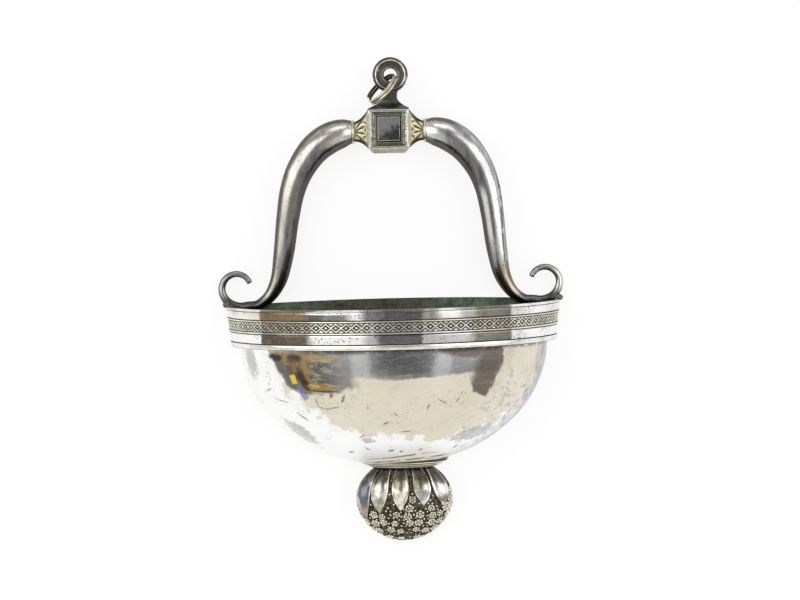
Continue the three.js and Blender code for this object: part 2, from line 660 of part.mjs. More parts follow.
// Split ring: a coil whose axis lies nearly in the plane of the handle
function addSplitRing() {
  const lie = radians(SPLIT_LIE_DEG);
  const tilt = radians(SPLIT_TILT_DEG);
  const lean = radians(SPLIT_LEAN_DEG);
  const flat = vector(Math.cos(lie), 0, Math.sin(lie));
  const wall = vector(0, 1, 0);
  const down = flat.clone().multiplyScalar(Math.cos(lean)).addScaledVector(wall, -Math.sin(lean));
  const back = flat.clone().multiplyScalar(Math.sin(lean)).addScaledVector(wall, Math.cos(lean));
  const sideways = vector(flat.z, 0, -flat.x);
  const across = sideways.multiplyScalar(Math.sin(tilt)).addScaledVector(back, Math.cos(tilt));
  const axis = down.clone().cross(across);
  const centre = vector(EYE_X + SPLIT_X, HANDLE_Y + SPLIT_Y, EYE_Z + SPLIT_Z);
  const perTurn = 22;
  const sides = 6;
  const steps = perTurn * SPLIT_TURNS;
  const startTurn = radians(SPLIT_START_DEG);
  const rings = span(steps + 1).map((step) => {
    const turn = startTurn + (2 * Math.PI * step) / perTurn;
    const out = down.clone().multiplyScalar(Math.cos(turn)).addScaledVector(across, Math.sin(turn));
    const along = SPLIT_PITCH * (step / perTurn - SPLIT_TURNS / 2);
    const middle = centre.clone().addScaledVector(out, SPLIT_RADIUS).addScaledVector(axis, along);
    return span(sides).map((index) => {
      const side = (2 * Math.PI * index) / sides;
      const point = middle.clone().addScaledVector(out, SPLIT_WIRE * Math.cos(side));
      return point.addScaledVector(axis, SPLIT_WIRE * Math.sin(side));
    });
  });
  place('jump_ring', loft(rings), dulled);
}

// Collar and finial
function addCollar() {
  const top = FLOOR_Z + COLLAR_GRIP;
  const firstRidge = FLOOR_Z + COLLAR_LEAD;
  const profile = [[COLLAR_INNER_HALF, top], [COLLAR_TOP_HALF + 1, top]];
  const height = (firstRidge - COLLAR_LOW) / COLLAR_RIDGES;
  for (const ridge of span(COLLAR_RIDGES)) {
    const z = firstRidge - ridge * height;
    const half = (share) => {
      return lerp(COLLAR_TOP_HALF, COLLAR_LOW_HALF, ((ridge + share) / COLLAR_RIDGES) ** COLLAR_SWEEP);
    };
    const crest = half(0.35) + COLLAR_RIDGE_PROUD;
    profile.push([half(0.2), z], [crest, z - height / 2], [half(1), z - height]);
  }
  profile.push([COLLAR_INNER_HALF, COLLAR_LOW]);
  const swept = profile.map(([half, z]) => [half, half * DEPTH_SHARE, z]);
  const collar = solidOf(halfRound(swept, 20, FINIAL_SHIFT));
  const bowl = solidOf(halfRound([[0, 0, BODY_TOP], ...bowlOutline(0).slice(4), [0, 0, FLOOR_Z]]));
  place('finial_collar', geometryOf(collar.subtract(bowl.translate([0, 0, -SEAM]))), silver);
}

function finialRing(z, inset, rear) {
  const { half, deep } = finialSize(z, inset);
  const steps = 16;
  const arc = span(steps + 1).map((step) => {
    const turn = (Math.PI * step) / steps;
    return vector(FINIAL_SHIFT + half * Math.cos(turn), FRONT_OF_BACK - deep * Math.sin(turn), z);
  });
  return arc.concat([vector(FINIAL_SHIFT - half, rear, z), vector(FINIAL_SHIFT + half, rear, z)]);
}

function finialBody(inset, rear) {
  const top = FINIAL_TOP - inset;
  const low = FINIAL_WIDEST - FINIAL_LOWER + inset;
  const steps = 12;
  const rings = span(steps + 1).map((step) => {
    const share = (1 - Math.cos((Math.PI * step) / steps)) / 2;
    return finialRing(lerp(top, low, 0.5 * share + (0.5 * step) / steps), inset, rear);
  });
  return solidOf(loft(rings));
}

// How wide a leaf is at a share of its length from the collar to the tip
function petalSwell(share) {
  const shoulder = lerp(0.55, 1, Math.sin(Math.PI * Math.min(share, 0.5)));
  const point = 1 - 3.76 * Math.max(share - 0.5, 0) ** 2;
  return shoulder * point;
}

const PETAL_TOP = FINIAL_TOP - 2 * SEAM;

// True where a rosette would meet a leaf
function underLeaf(turn, z) {
  return PETAL_TURNS_DEG.some((degrees, index) => {
    const { half, deep } = finialSize(z);
    const reach = Math.hypot(half * Math.sin(turn), deep * Math.cos(turn));
    const room = ROSETTE_RADIUS + SEAM;
    const share = (PETAL_TOP - z - room) / PETAL_LENGTHS[index];
    if (share > 1) return false;
    const away = Math.abs(turn - radians(degrees)) * reach;
    return away < (PETAL_WIDTH / 2) * petalSwell(Math.max(share, 0)) + room;
  });
}

// One rosette: a six-sided boss with a raised bud, standing on the finial's surface
function rosetteSolid(turn, z) {
  const profile = [[0, -1], [1, -1], [0.9, 0.7], [0.45, 0.5], [0, 1]];
  const points = profile.map(([out, up]) => new THREE.Vector2(out * ROSETTE_RADIUS, up * ROSETTE_RISE));
  const boss = new THREE.LatheGeometry(points, 6);
  const at = finialPoint(turn, z);
  const outward = finialPoint(turn, z, 1).sub(at);
  boss.applyQuaternion(new THREE.Quaternion().setFromUnitVectors(vector(0, 1, 0), outward));
  return solidOf(boss.translate(at.x, at.y, at.z));
}

// Rows of rosettes over the ground that the leaves leave bare
function rosettes() {
  const found = [];
  for (const row of span(ROSETTE_ROW_COUNT)) {
    const z = FINIAL_TOP - ROSETTE_FIRST_ROW - row * ROSETTE_ROW_STEP;
    const { half, deep } = finialSize(z);
    const length = Math.PI * Math.sqrt((half ** 2 + deep ** 2) / 2);
    const count = Math.floor(length / ROSETTE_PITCH);
    for (const index of span(count)) {
      const turn = Math.PI * ((index + (row % 2 ? 0.25 : 0.75)) / count);
      if (!underLeaf(turn, z)) found.push(rosetteSolid(turn, z));
    }
  }
  return found;
}

function addFinialShell() {
  const rear = FRONT_OF_BACK;
  const hollow = finialBody(FINIAL_SHEET, rear + 1);
  const wide = 4 * FINIAL_HALF;
  const behindY = rear + FINIAL_DEPTH;
  const behind = solidOf(box(wide, 2 * FINIAL_DEPTH, wide, FINIAL_SHIFT, behindY, FINIAL_WIDEST));
  const bossed = rosettes().reduce((solid, rosette) => solid.add(rosette), finialBody(0, rear));
  const shell = bossed.subtract(hollow).subtract(behind).subtract(studDrill(FINIAL_TOP));
  place('finial_shell', geometryOf(shell), oxidised);
}

function addFinialBack() {
  const outline = new THREE.Shape();
  const low = FINIAL_WIDEST - FINIAL_LOWER;
  const steps = 14;
  const side = span(steps + 1).map((step) => {
    const z = lerp(FINIAL_TOP, low, Math.sin((Math.PI / 2) * (step / steps)));
    return [finialSize(z).half, z];
  });
  side.forEach(([half, z], index) => {
    if (index === 0) outline.moveTo(FINIAL_SHIFT + half, z);
    else outline.lineTo(FINIAL_SHIFT + half, z);
  });
  side.slice(0, -1).reverse().forEach(([half, z]) => outline.lineTo(FINIAL_SHIFT - half, z));
  const sheet = new THREE.ExtrudeGeometry(outline, { depth: BACK_THICK, bevelEnabled: false });
  place('finial_back', sheet.rotateX(Math.PI / 2), dulled);
}

// One leaf: pointed at its tip, narrower under the collar, crowned along its middle
function petalGeometry(centreTurn, length) {
  const steps = 9;
  const rings = span(steps + 1).map((step) => {
    const share = step / steps;
    const z = PETAL_TOP - length * share;
    const { half, deep } = finialSize(z);
    const reach = Math.hypot(half * Math.sin(centreTurn), deep * Math.cos(centreTurn));
    const swell = petalSwell(share);
    const halfTurn = (PETAL_WIDTH / 2) * (swell / reach);
    const crown = PETAL_CROWN * Math.sin(Math.PI * (0.12 + 0.8 * share)) * swell;
    const under = [-1, 0, 1].map((across) => finialPoint(centreTurn + across * halfTurn, z, SEAM));
    const over = [1, 0.55, 0, -0.55, -1].map((across) => {
      const lift = SEAM + PETAL_EDGE + crown * (1 - across ** 2);
      return finialPoint(centreTurn + across * halfTurn, z, lift);
    });
    return under.concat(over);
  });
  return loft(rings);
}

function addPetals() {
  PETAL_TURNS_DEG.forEach((turn, index) => {
    place(`petal_${index + 1}`, petalGeometry(radians(turn), PETAL_LENGTHS[index]), silver);
  });
}

function addStud() {
  const low = FINIAL_TOP - FINIAL_SHEET - SEAM;
  const top = FLOOR_Z + BASIN_SHEET + SEAM + NUT_HEIGHT + STUD_END;
  const head = [[0, low - STUD_HEAD_THICK], [STUD_HEAD, low - STUD_HEAD_THICK], [STUD_HEAD, low]];
  const shank = [[STUD_RADIUS, low], [STUD_RADIUS, top], [0, top]];
  const profile = [...head, ...shank].map(([radius, z]) => new THREE.Vector2(radius, z));
  const stud = new THREE.LatheGeometry(profile, HOLE_SIDES).rotateX(Math.PI / 2);
  place('finial_stud', geometryOf(solidOf(stud.translate(FINIAL_SHIFT, STUD_Y, 0))), dulled);

  const nutZ = FLOOR_Z + BASIN_SHEET + SEAM + NUT_HEIGHT / 2;
  const nut = new THREE.CylinderGeometry(NUT_RADIUS, NUT_RADIUS, NUT_HEIGHT, 6).rotateX(Math.PI / 2);
  place('finial_nut', notched(nut.translate(FINIAL_SHIFT, STUD_Y, nutZ), [studDrill(nutZ)]), dulled);
}

const armSpaces = [armSolid(1, SEAM), armSolid(-1, SEAM)];
addBackSheet();
addBowl(armSpaces);
addBand(armSpaces);
addArms();
addSolderLumps(armSpaces);
addBlock();
addFerrules();
addEye();
addSplitRing();
addCollar();
addFinialShell();
addFinialBack();
addPetals();
addStud();

export default font;
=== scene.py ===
# The looks of the holy water font: fine pieces and worn silver over its plain solids, with reflections,
# highlights and shade painted into the colours.
# Sizes are in millimetres, as in the part's source, and become metres when a mesh is made.
import math
import bmesh
import bpy
import numpy as np
from mathutils import Matrix, Vector, noise


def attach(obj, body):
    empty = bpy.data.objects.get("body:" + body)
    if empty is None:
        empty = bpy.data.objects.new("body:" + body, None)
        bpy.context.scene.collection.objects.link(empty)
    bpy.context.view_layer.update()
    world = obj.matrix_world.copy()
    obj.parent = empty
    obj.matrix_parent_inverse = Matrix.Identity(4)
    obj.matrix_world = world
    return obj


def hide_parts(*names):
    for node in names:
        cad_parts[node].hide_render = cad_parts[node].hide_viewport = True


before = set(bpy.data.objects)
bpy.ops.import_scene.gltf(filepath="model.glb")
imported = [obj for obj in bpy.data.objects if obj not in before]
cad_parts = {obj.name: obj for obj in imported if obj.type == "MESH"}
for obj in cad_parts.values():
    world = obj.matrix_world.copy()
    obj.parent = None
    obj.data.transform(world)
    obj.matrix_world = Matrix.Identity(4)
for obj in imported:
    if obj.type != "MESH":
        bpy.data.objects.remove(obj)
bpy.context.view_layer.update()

MM = 0.001
SEAM = 0.3
BACK_THICK = 1.2
BASIN_SHEET = 1.0
FRONT_OF_BACK = -(BACK_THICK + SEAM)
SIDES = ((1, "right"), (-1, "left"))

# Basin
BODY_HALF = 76.5
BODY_DROP = 61.3
BODY_TOP = -20.0
DEPTH_SHARE = 0.8
BODY_DEEP = BODY_HALF * DEPTH_SHARE
FLOOR_HALF = 16.0
FLOOR_TURN = math.acos(FLOOR_HALF / BODY_HALF)
FLOOR_Z = BODY_TOP - BODY_DROP * math.sin(FLOOR_TURN)

# Rim band, stacked downwards from the rim
RIM_HALF = BODY_HALF + 6.8
BAND_SLOPE = 0.115
BAND_THICK = 1.4
BAND_WAVE = 0.12
COVE_REACH = 2.6
LIP_PROUD = 0.35
WIRE_PROUD = 0.35
LIP_LOW = -1.1
UPPER_HIGH = 3.7
FILLET_HIGH = 0.9
LOZENGE_HIGH = 4.2
BEAD_HIGH = 1.0
LOWER_HIGH = 4.5
STEP_HIGH = 2.5
UPPER_TOP = LIP_LOW - SEAM
FILLET_TOP = UPPER_TOP - UPPER_HIGH - SEAM
LOZENGE_TOP = FILLET_TOP - FILLET_HIGH - SEAM
BEAD_TOP = LOZENGE_TOP - LOZENGE_HIGH - SEAM
LOWER_TOP = BEAD_TOP - BEAD_HIGH - SEAM
STEP_TOP = LOWER_TOP - LOWER_HIGH - SEAM
STEP_LOW = STEP_TOP - STEP_HIGH
LOZENGE_COUNT = 46
LOZENGE_RISE = 0.35
LOZENGE_STEPS = 18
LOZENGE_ROWS = 26

# Handle
BLOCK_LOW = 77.2
BLOCK_TALL = 18.6
BLOCK_HIGH = BLOCK_LOW + BLOCK_TALL
BLOCK_MIDDLE = (BLOCK_LOW + BLOCK_HIGH) / 2
BLOCK_HALF = 9.9
BLOCK_DEPTH = 17.0
BLOCK_FRONT = FRONT_OF_BACK - BLOCK_DEPTH
BLOCK_SHEET = 1.0
HANDLE_Y = FRONT_OF_BACK - BLOCK_DEPTH / 2
WINDOW = (6.2, 6.6)
PANEL_SUNK = 0.9
FOOT_THICK = 2.4
FERRULE_LENGTH = 6.8
FERRULE_NARROW = 4.9
FERRULE_END = BLOCK_HALF + SEAM + FERRULE_LENGTH
RING_THICK = 1.0
TUBE_START_X = FERRULE_END + RING_THICK + 2 * SEAM
TUBE_START_Z = BLOCK_LOW + 8.2
TUBE_START_RADIUS = 5.7
# Share of the way out to the scroll, share of the height, and radius
ARM_ROUTE = [
    (0.07, 0.994, 7.0),
    (0.185, 0.968, 7.7),
    (0.316, 0.905, 7.55),
    (0.439, 0.79, 6.9),
    (0.509, 0.67, 6.3),
    (0.554, 0.504, 5.7),
    (0.591, 0.304, 5.1),
    (0.641, 0.143, 4.1),
    (0.723, 0.049, 3.1),
    (0.824, 0.001, 2.6),
]
ARM_LEAN = -0.9
SCROLL_X = RIM_HALF - 6.5
SCROLL_Z = 9.0
SCROLL_RADII = (10.9, 6.9)
SCROLL_DEGREES = (-122.0, 161.0)
WIRE_RADII = (2.45, 1.35)
LUMP_HALF = np.array([2.5, 2.5, 1.9])

# Eye and split ring
EYE_X = 1.3
EYE_Z = BLOCK_HIGH + 17.4
EYE_OUTER = 8.75
EYE_HOLE = 3.1
EYE_STEP = 7.2
EYE_HALF_THICK = 2.5
EYE_STEM_HALF = 3.2
EYE_FOOT_HEIGHT = 6.5
SPLIT_RADIUS = 8.5
SPLIT_WIRE = 0.7
SPLIT_PITCH = 1.5
SPLIT_TURNS = 2
SPLIT_PLACE = np.array([EYE_X - 4.0, HANDLE_Y - 3.5, EYE_Z - 6.8])
SPLIT_LIE, SPLIT_TILT, SPLIT_LEAN, SPLIT_START = (math.radians(degrees) for degrees in (226, 15, 5, 27))

# Collar and finial
FINIAL_SHIFT = 3.5
COLLAR_TOP_HALF = 22.0
COLLAR_LOW_HALF = COLLAR_TOP_HALF - 5.8
COLLAR_LOW = FLOOR_Z - 2.3
COLLAR_INNER = 11.0
COLLAR_RIDGES = 3
FINIAL_HALF = COLLAR_TOP_HALF + 2.0
FINIAL_DEPTH = 13.0
FINIAL_UPPER = 20.0
FINIAL_LOWER = 21.0
FINIAL_TOP = COLLAR_LOW - 0.6
FINIAL_WIDEST = FINIAL_TOP - 15.6
LOWER_POINTING = 1.85
STIPPLE = 0.22
PETAL_TOP = FINIAL_TOP - 2 * SEAM
PETAL_TURNS = (38, 67, 95, 122, 149)
PETAL_LENGTHS = (17.8, 17.4, 19.3, 20.7, 23.5)
PETAL_WIDTH = 8.6
PETAL_CROWN = 1.7
ROSETTE_RADIUS = 2.15
ROSETTE_PITCH = 4.9
ROSETTE_ROWS = 7
ROSETTE_ROW = 3.75
BUD_SHARE = 0.48


def lerp(start, end, share):
    return start + (end - start) * share


# Rises smoothly from 0 at low to 1 at high, or falls where low is the larger
def smooth(value, low, high):
    share = min(max((value - low) / (high - low), 0.0), 1.0)
    return share * share * (3 - 2 * share)


# 1 on a line, and falls evenly to 0 at its half width
def line_at(value, middle, half):
    return max(1 - abs(value - middle) / half, 0)


def circle(count):
    return [2 * math.pi * number / count for number in range(count)]


# Unevenness of hand-worked metal, from about -1 to 1, with waves of one size
def waves(point, size, seed=0.0):
    return noise.noise(Vector(point) / size + Vector((seed, 2 * seed, -seed)))


# A skin through rings of points, with how far each point stands out of its surroundings
def skin(rings, capped=True, raised=None):
    rings = [np.asarray(ring, float) for ring in rings]
    count = len(rings[0])
    faces = []
    for row in range(len(rings) - 1):
        here, there = row * count, (row + 1) * count
        for j in range(count):
            k = (j + 1) % count
            faces.append((here + j, there + j, there + k, here + k))
    if capped:
        last = (len(rings) - 1) * count
        faces.append(tuple(range(count)))
        faces.append(tuple(range(last + count - 1, last - 1, -1)))
    points = np.concatenate(rings)
    levels = np.ones(len(points)) if raised is None else np.concatenate(raised)
    return points, faces, levels


def add_piece(name, skins, material, replaced, slot, body="font", sharp=38.0):
    points, faces, levels, offset = [], [], [], 0
    for own_points, own_faces, own_levels in skins:
        points.append(own_points)
        levels.append(own_levels)
        faces += [tuple(offset + index for index in face) for face in own_faces]
        offset += len(own_points)
    mesh = bpy.data.meshes.new(name)
    mesh.from_pydata((np.concatenate(points) * MM).tolist(), [], faces)
    relief = mesh.attributes.new("raised", "FLOAT", "POINT")
    relief.data.foreach_set("value", np.concatenate(levels).astype(np.float32))
    work = bmesh.new()
    work.from_mesh(mesh)
    bmesh.ops.remove_doubles(work, verts=work.verts, dist=1e-6)
    bmesh.ops.recalc_face_normals(work, faces=work.faces)
    work.to_mesh(mesh)
    work.free()
    mesh.polygons.foreach_set("use_smooth", [True] * len(mesh.polygons))
    mesh.set_sharp_from_angle(angle=math.radians(sharp))
    mesh.materials.append(material)
    piece = bpy.data.objects.new(name, mesh)
    bpy.context.scene.collection.objects.link(piece)
    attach(piece, body)
    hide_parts(*replaced)


# A piece of one skin that stands for one node
def add_skin(name, node, slot, material, rings, levels=None, capped=True, **more):
    add_piece(name, [skin(rings, capped, levels)], material, [node], slot, **more)


# Sweeps a profile of half width, half depth and Z around the front half of the basin
def half_round(profile, steps, shift=0.0):
    profile = np.asarray(profile, float)
    rings = []
    for turn in np.linspace(0, math.pi, steps + 1):
        x = profile[:, 0] * math.cos(turn) + shift
        y = FRONT_OF_BACK - profile[:, 1] * math.sin(turn)
        rings.append(np.stack([x, y, profile[:, 2]], axis=1))
    return rings


def at_turn(half, deep, z, turn):
    return (half * math.cos(turn), FRONT_OF_BACK - deep * math.sin(turn), z)


def band_point(half, z):
    return (half, half - BODY_HALF * (1 - DEPTH_SHARE), z)


def band_half(z):
    return RIM_HALF + BAND_SLOPE * z


def wall_half(z):
    return band_half(z) - BAND_THICK - SEAM


def bowl_outline(inset, cove_steps=10, bowl_steps=96):
    points = [band_point(wall_half(UPPER_TOP) - inset, UPPER_TOP)]
    cove_top = STEP_LOW + SEAM
    out_half = wall_half(cove_top)
    for turn in np.linspace(0, math.pi / 2, cove_steps + 1):
        half = out_half - (out_half - BODY_HALF) * math.sin(turn) - inset
        points.append(band_point(half, cove_top - COVE_REACH * (1 - math.cos(turn))))
    start = math.asin((BODY_TOP - (cove_top - COVE_REACH)) / BODY_DROP)
    for turn in np.linspace(start, FLOOR_TURN, bowl_steps + 1)[1:]:
        half = (BODY_HALF - inset) * math.cos(turn)
        deep = (BODY_DEEP - inset) * math.cos(turn)
        points.append((half, deep, BODY_TOP - (BODY_DROP - inset) * math.sin(turn)))
    return points


# Small knocks in the bowl: X, Z, radius and depth
KNOCKS = [
    (-31, -42, 1.5, 0.22),
    (-26, -44, 1.3, 0.2),
    (28, -48, 2.2, 0.16),
    (2, -52, 1.6, 0.12),
    (-8, -57, 2.6, 0.14),
    (47, -55, 2.8, 0.12),
    (-50, -47, 2.4, 0.12),
]


def bowl_dent(x, y, z):
    dent = 0.16 * waves((x, y, z), 17.0) + 0.06 * waves((x, y, z), 6.5, 3.0)
    for knock_x, knock_z, radius, depth in KNOCKS:
        away = math.hypot(x - knock_x, z - knock_z) / radius
        dent -= depth * math.exp(-away * away)
    return dent * smooth(z, BODY_TOP - 3, BODY_TOP - 12)


def add_bowl(material):
    outer, inner = bowl_outline(0.0), bowl_outline(BASIN_SHEET)
    floor = [(0, 0, FLOOR_Z), (0, 0, FLOOR_Z + BASIN_SHEET)]
    rings = half_round(outer + floor + inner[::-1], 220)
    for ring in rings:
        for index, (x, y, z) in enumerate(ring[:len(outer)]):
            bulge = Vector((x / BODY_HALF**2, y / BODY_DEEP**2, (z - BODY_TOP) / BODY_DROP**2))
            ring[index] += np.array(bulge.normalized()) * bowl_dent(x, y, z)
    levels = [1.0] * len(outer) + [0.0] * (len(floor) + len(inner))
    add_skin("bowl", "bowl_shell", "silver", material, rings, [levels] * len(rings))


# Plain strips, wires and mouldings of the band: the section, and how far each point stands out
def band_section(top, height, proud=0.0):
    outside, levels = [], []
    for share in np.linspace(0, 1, 13):
        z = top - height * share
        edge = min(share, 1 - share) * height
        swell = proud * math.sin(math.pi * lerp(0.1, 0.9, share))
        ease = -0.12 * max(1 - edge / 0.25, 0.0) ** 2
        outside.append(band_point(band_half(z) + swell + ease, z))
        levels.append(smooth(edge, 0.0, 0.32))
    inside = [band_point(wall_half(z) + SEAM, z) for z in (top - height, top)]
    return outside + inside, levels + [0.0, 0.0]


def lip_section():
    inner, outer = wall_half(0) - BASIN_SHEET, RIM_HALF + LIP_PROUD
    middle, reach = (inner + outer) / 2, (outer - inner) / 2
    section = [band_point(inner, LIP_LOW), band_point(inner, LIP_LOW / 2)]
    for turn in np.linspace(math.pi, 0, 9):
        section.append(band_point(middle + reach * math.cos(turn), LIP_LOW / 2 * (1 - math.sin(turn))))
    section.append(band_point(RIM_HALF, LIP_LOW))
    return section, [1.0] * len(section)


def wavy(rings):
    for ring in rings:
        for index, (x, y, z) in enumerate(ring):
            push = BAND_WAVE * waves((x, y, 0.3 * z), 11.0, 5.0) / RIM_HALF
            ring[index][:2] += (push * x, push * y)
    return rings


def add_band(plain, line, trim, milled):
    strips = [
        ("rim_wire", "rim_lip", plain, lip_section()),
        ("plain_strip_upper", "upper_strip", plain, band_section(UPPER_TOP, UPPER_HIGH)),
        ("fillet", "upper_fillet", trim, band_section(FILLET_TOP, FILLET_HIGH, WIRE_PROUD)),
        ("bead", "lower_bead", trim, band_section(BEAD_TOP, BEAD_HIGH, WIRE_PROUD)),
        ("plain_strip_lower", "lower_strip", plain, band_section(LOWER_TOP, LOWER_HIGH)),
        ("step", "step_moulding", line, band_section(STEP_TOP, STEP_HIGH, WIRE_PROUD)),
    ]
    for name, node, material, (section, levels) in strips:
        rings = wavy(half_round(section, 180))
        add_skin(name, node, "silver", material, rings, [levels] * len(rings))
    add_lozenges(milled)


# One crossed ridge pattern: across and up both run from -1 to 1 over a lozenge
def lozenge_height(across, up):
    away = abs(across) + abs(up)
    ridge = 1 - smooth(abs(away - 1), 0.11, 0.27)
    boss = 1 - smooth(away, 0.26, 0.42)
    corner = smooth(away, 1.42, 1.6)
    return max(ridge, 0.85 * boss, 0.7 * corner)


# Turns at even lengths of arc along the band
def even_turns(steps):
    turns = np.linspace(0, math.pi, 2001)
    half, deep, _ = band_point(band_half(LOZENGE_TOP), LOZENGE_TOP)
    parts = np.hypot(half * np.diff(np.cos(turns)), deep * np.diff(np.sin(turns)))
    lengths = np.concatenate([[0], np.cumsum(parts)])
    return np.interp(np.linspace(0, lengths[-1], steps + 1), lengths, turns)


def add_lozenges(material):
    low = LOZENGE_TOP - LOZENGE_HIGH
    rings, levels = [], []
    for step, turn in enumerate(even_turns(LOZENGE_COUNT * LOZENGE_STEPS)):
        across = ((step / LOZENGE_STEPS) % 1.0) * 2 - 1
        ring, level = [], []
        for share in np.linspace(0, 1, LOZENGE_ROWS + 1):
            z = lerp(LOZENGE_TOP, low, share)
            up = lerp(1.08, -1.08, share)
            high = 0.9 if abs(up) > 1 else lozenge_height(across, up)
            worn = 1 - 0.35 * max(waves((30 * turn, 0, z), 1.6, 7.0), 0)
            half, deep, _ = band_point(band_half(z) - LOZENGE_RISE * (1 - high * worn), z)
            ring.append(at_turn(half, deep, z, turn))
            level.append(high)
        for z in (low, LOZENGE_TOP):
            deep = band_point(band_half(z), z)[1] - BAND_THICK
            ring.append(at_turn(wall_half(z) + SEAM, deep, z, turn))
            level.append(0.0)
        rings.append(ring)
        levels.append(level)
    add_skin("milled_strip", "lozenge_strip", "dulled", material, rings, levels)


# Handle tubes follow the same run of X, radius and Z as the solids
def arm_stations():
    route = [(TUBE_START_X, TUBE_START_RADIUS, TUBE_START_Z)]
    for out, up, radius in ARM_ROUTE:
        route.append((lerp(TUBE_START_X, SCROLL_X, out), radius, up * TUBE_START_Z))
    for share in np.linspace(0, 1, 15):
        turn = math.radians(lerp(*SCROLL_DEGREES, share))
        reach = lerp(SCROLL_RADII[1], SCROLL_RADII[0], math.exp(-5 * share))
        wire = lerp(*WIRE_RADII, share**0.6)
        route.append((SCROLL_X + reach * math.cos(turn), wire, SCROLL_Z + reach * math.sin(turn)))
    return [np.array(point) for point in route]


# A smooth curve between two stations, which the ones before and after bend
def run_between(before, start, end, after, share):
    pairs = ((before, start), (start, end), (end, after))
    gaps = [max(float(np.sum((b - a) ** 2)) ** 0.25, 1e-4) for a, b in pairs]
    leave = (start - before) / gaps[0] - (end - before) / (gaps[0] + gaps[1]) + (end - start) / gaps[1]
    arrive = (end - start) / gaps[1] - (after - start) / (gaps[1] + gaps[2]) + (after - end) / gaps[2]
    leave, arrive = leave * gaps[1], arrive * gaps[1]
    bend = -3 * start + 3 * end - 2 * leave - arrive
    twist = 2 * start - 2 * end + leave + arrive
    return start + leave * share + bend * share**2 + twist * share**3


def arm_run(steps):
    route = arm_stations()
    route = [2 * route[0] - route[1]] + route + [2 * route[-1] - route[-2]]
    dense = []
    for index in range(1, len(route) - 2):
        for part in range(24):
            dense.append(run_between(*route[index - 1:index + 3], part / 24))
    dense = np.array(dense + [route[-2]])
    lengths = np.concatenate([[0], np.cumsum(np.linalg.norm(np.diff(dense, axis=0), axis=1))])
    wanted = np.linspace(0, lengths[-1], steps + 1)
    return np.stack([np.interp(wanted, lengths, dense[:, axis]) for axis in range(3)], axis=1)


def arm_rings(side, steps=300, sides=40):
    run = arm_run(steps)
    rings = []
    for index, (x, radius, z) in enumerate(run):
        ahead, behind = run[min(index + 1, steps)], run[max(index - 1, 0)]
        heading = np.array([ahead[0] - behind[0], ahead[2] - behind[2]])
        heading = np.array([1.0, 0.0]) if index == 0 else heading / np.linalg.norm(heading)
        up = smooth(z, 0, BLOCK_LOW)
        y = lerp(FRONT_OF_BACK - radius, HANDLE_Y, up)
        to_end = (steps - index) * 0.62
        rounding = math.sqrt(1 - max(1 - to_end / 0.5, 0) ** 2 * 0.35)
        ring = []
        for number in range(sides):
            turn = 2 * math.pi * (number + 0.5) / sides
            bump = 0.04 * waves((x * side, 8 * turn / math.pi, z), 14.0, 11.0)
            wide = (radius + bump) * rounding
            out = wide * math.cos(turn)
            ring_x = side * (x - heading[1] * out) + ARM_LEAN * (1 - up)
            ring.append((ring_x, y + wide * math.sin(turn), z + heading[0] * out))
        rings.append(ring)
    return rings


def add_arms(material):
    for side, word in SIDES:
        add_skin(f"handle_{word}", f"arm_{word}", "dulled", material, arm_rings(side))


# Solder lumps with green crusts at the ends of the rim
def add_lumps(material):
    for side, word in SIDES:
        centre = np.array([side * (RIM_HALF - 0.6), -4.4, 0.7])
        rings = []
        for rise in np.linspace(0, math.pi, 25):
            ring = []
            for turn in circle(36):
                wide = math.sin(rise)
                out = np.array([wide * math.cos(turn), wide * math.sin(turn), math.cos(rise)])
                crust = 0.86 + 0.16 * waves(out, 0.45, 3.0 + side) + 0.07 * waves(out, 0.16, 9.0)
                ring.append(centre + LUMP_HALF * out * crust)
            rings.append(ring)
        add_skin(f"crust_{word}", f"solder_{word}", "verdigris", material, rings, capped=False)


# A rectangle with rounded corners, facing the viewer
def rectangle(half_x, half_z, y, corner, centre=(0.0, BLOCK_MIDDLE), side_steps=10, corner_steps=5):
    points = []
    for quarter, (sign_x, sign_z) in enumerate(((1, 1), (-1, 1), (-1, -1), (1, -1))):
        x, z = sign_x * (half_x - corner), sign_z * (half_z - corner)
        for step in range(corner_steps + 1):
            turn = math.pi / 2 * (quarter + step / corner_steps)
            points.append((x + corner * math.cos(turn), z + corner * math.sin(turn)))
    full = []
    for index, (x, z) in enumerate(points):
        full.append((x, z))
        if index % (corner_steps + 1) == corner_steps:
            next_x, next_z = points[(index + 1) % len(points)]
            for step in range(1, side_steps):
                share = step / side_steps
                full.append((lerp(x, next_x, share), lerp(z, next_z, share)))
    return [(centre[0] + x, y, centre[1] + z) for x, z in full]


# A rectangle with rounded corners, lying level
def flat_rectangle(half_x, half_y, z, corner, centre_x=0.0):
    standing = rectangle(half_x, half_y, 0.0, corner, centre=(0.0, 0.0))
    return [(centre_x + x, HANDLE_Y - up, z) for x, _, up in standing]


# Levels round a rectangle, lower above and below its middle, where dirt sits
def side_levels(ring, level, plain, reach, share):
    return [level if plain or abs(x) > abs(z - BLOCK_MIDDLE) - reach else share * level for x, _, z in ring]


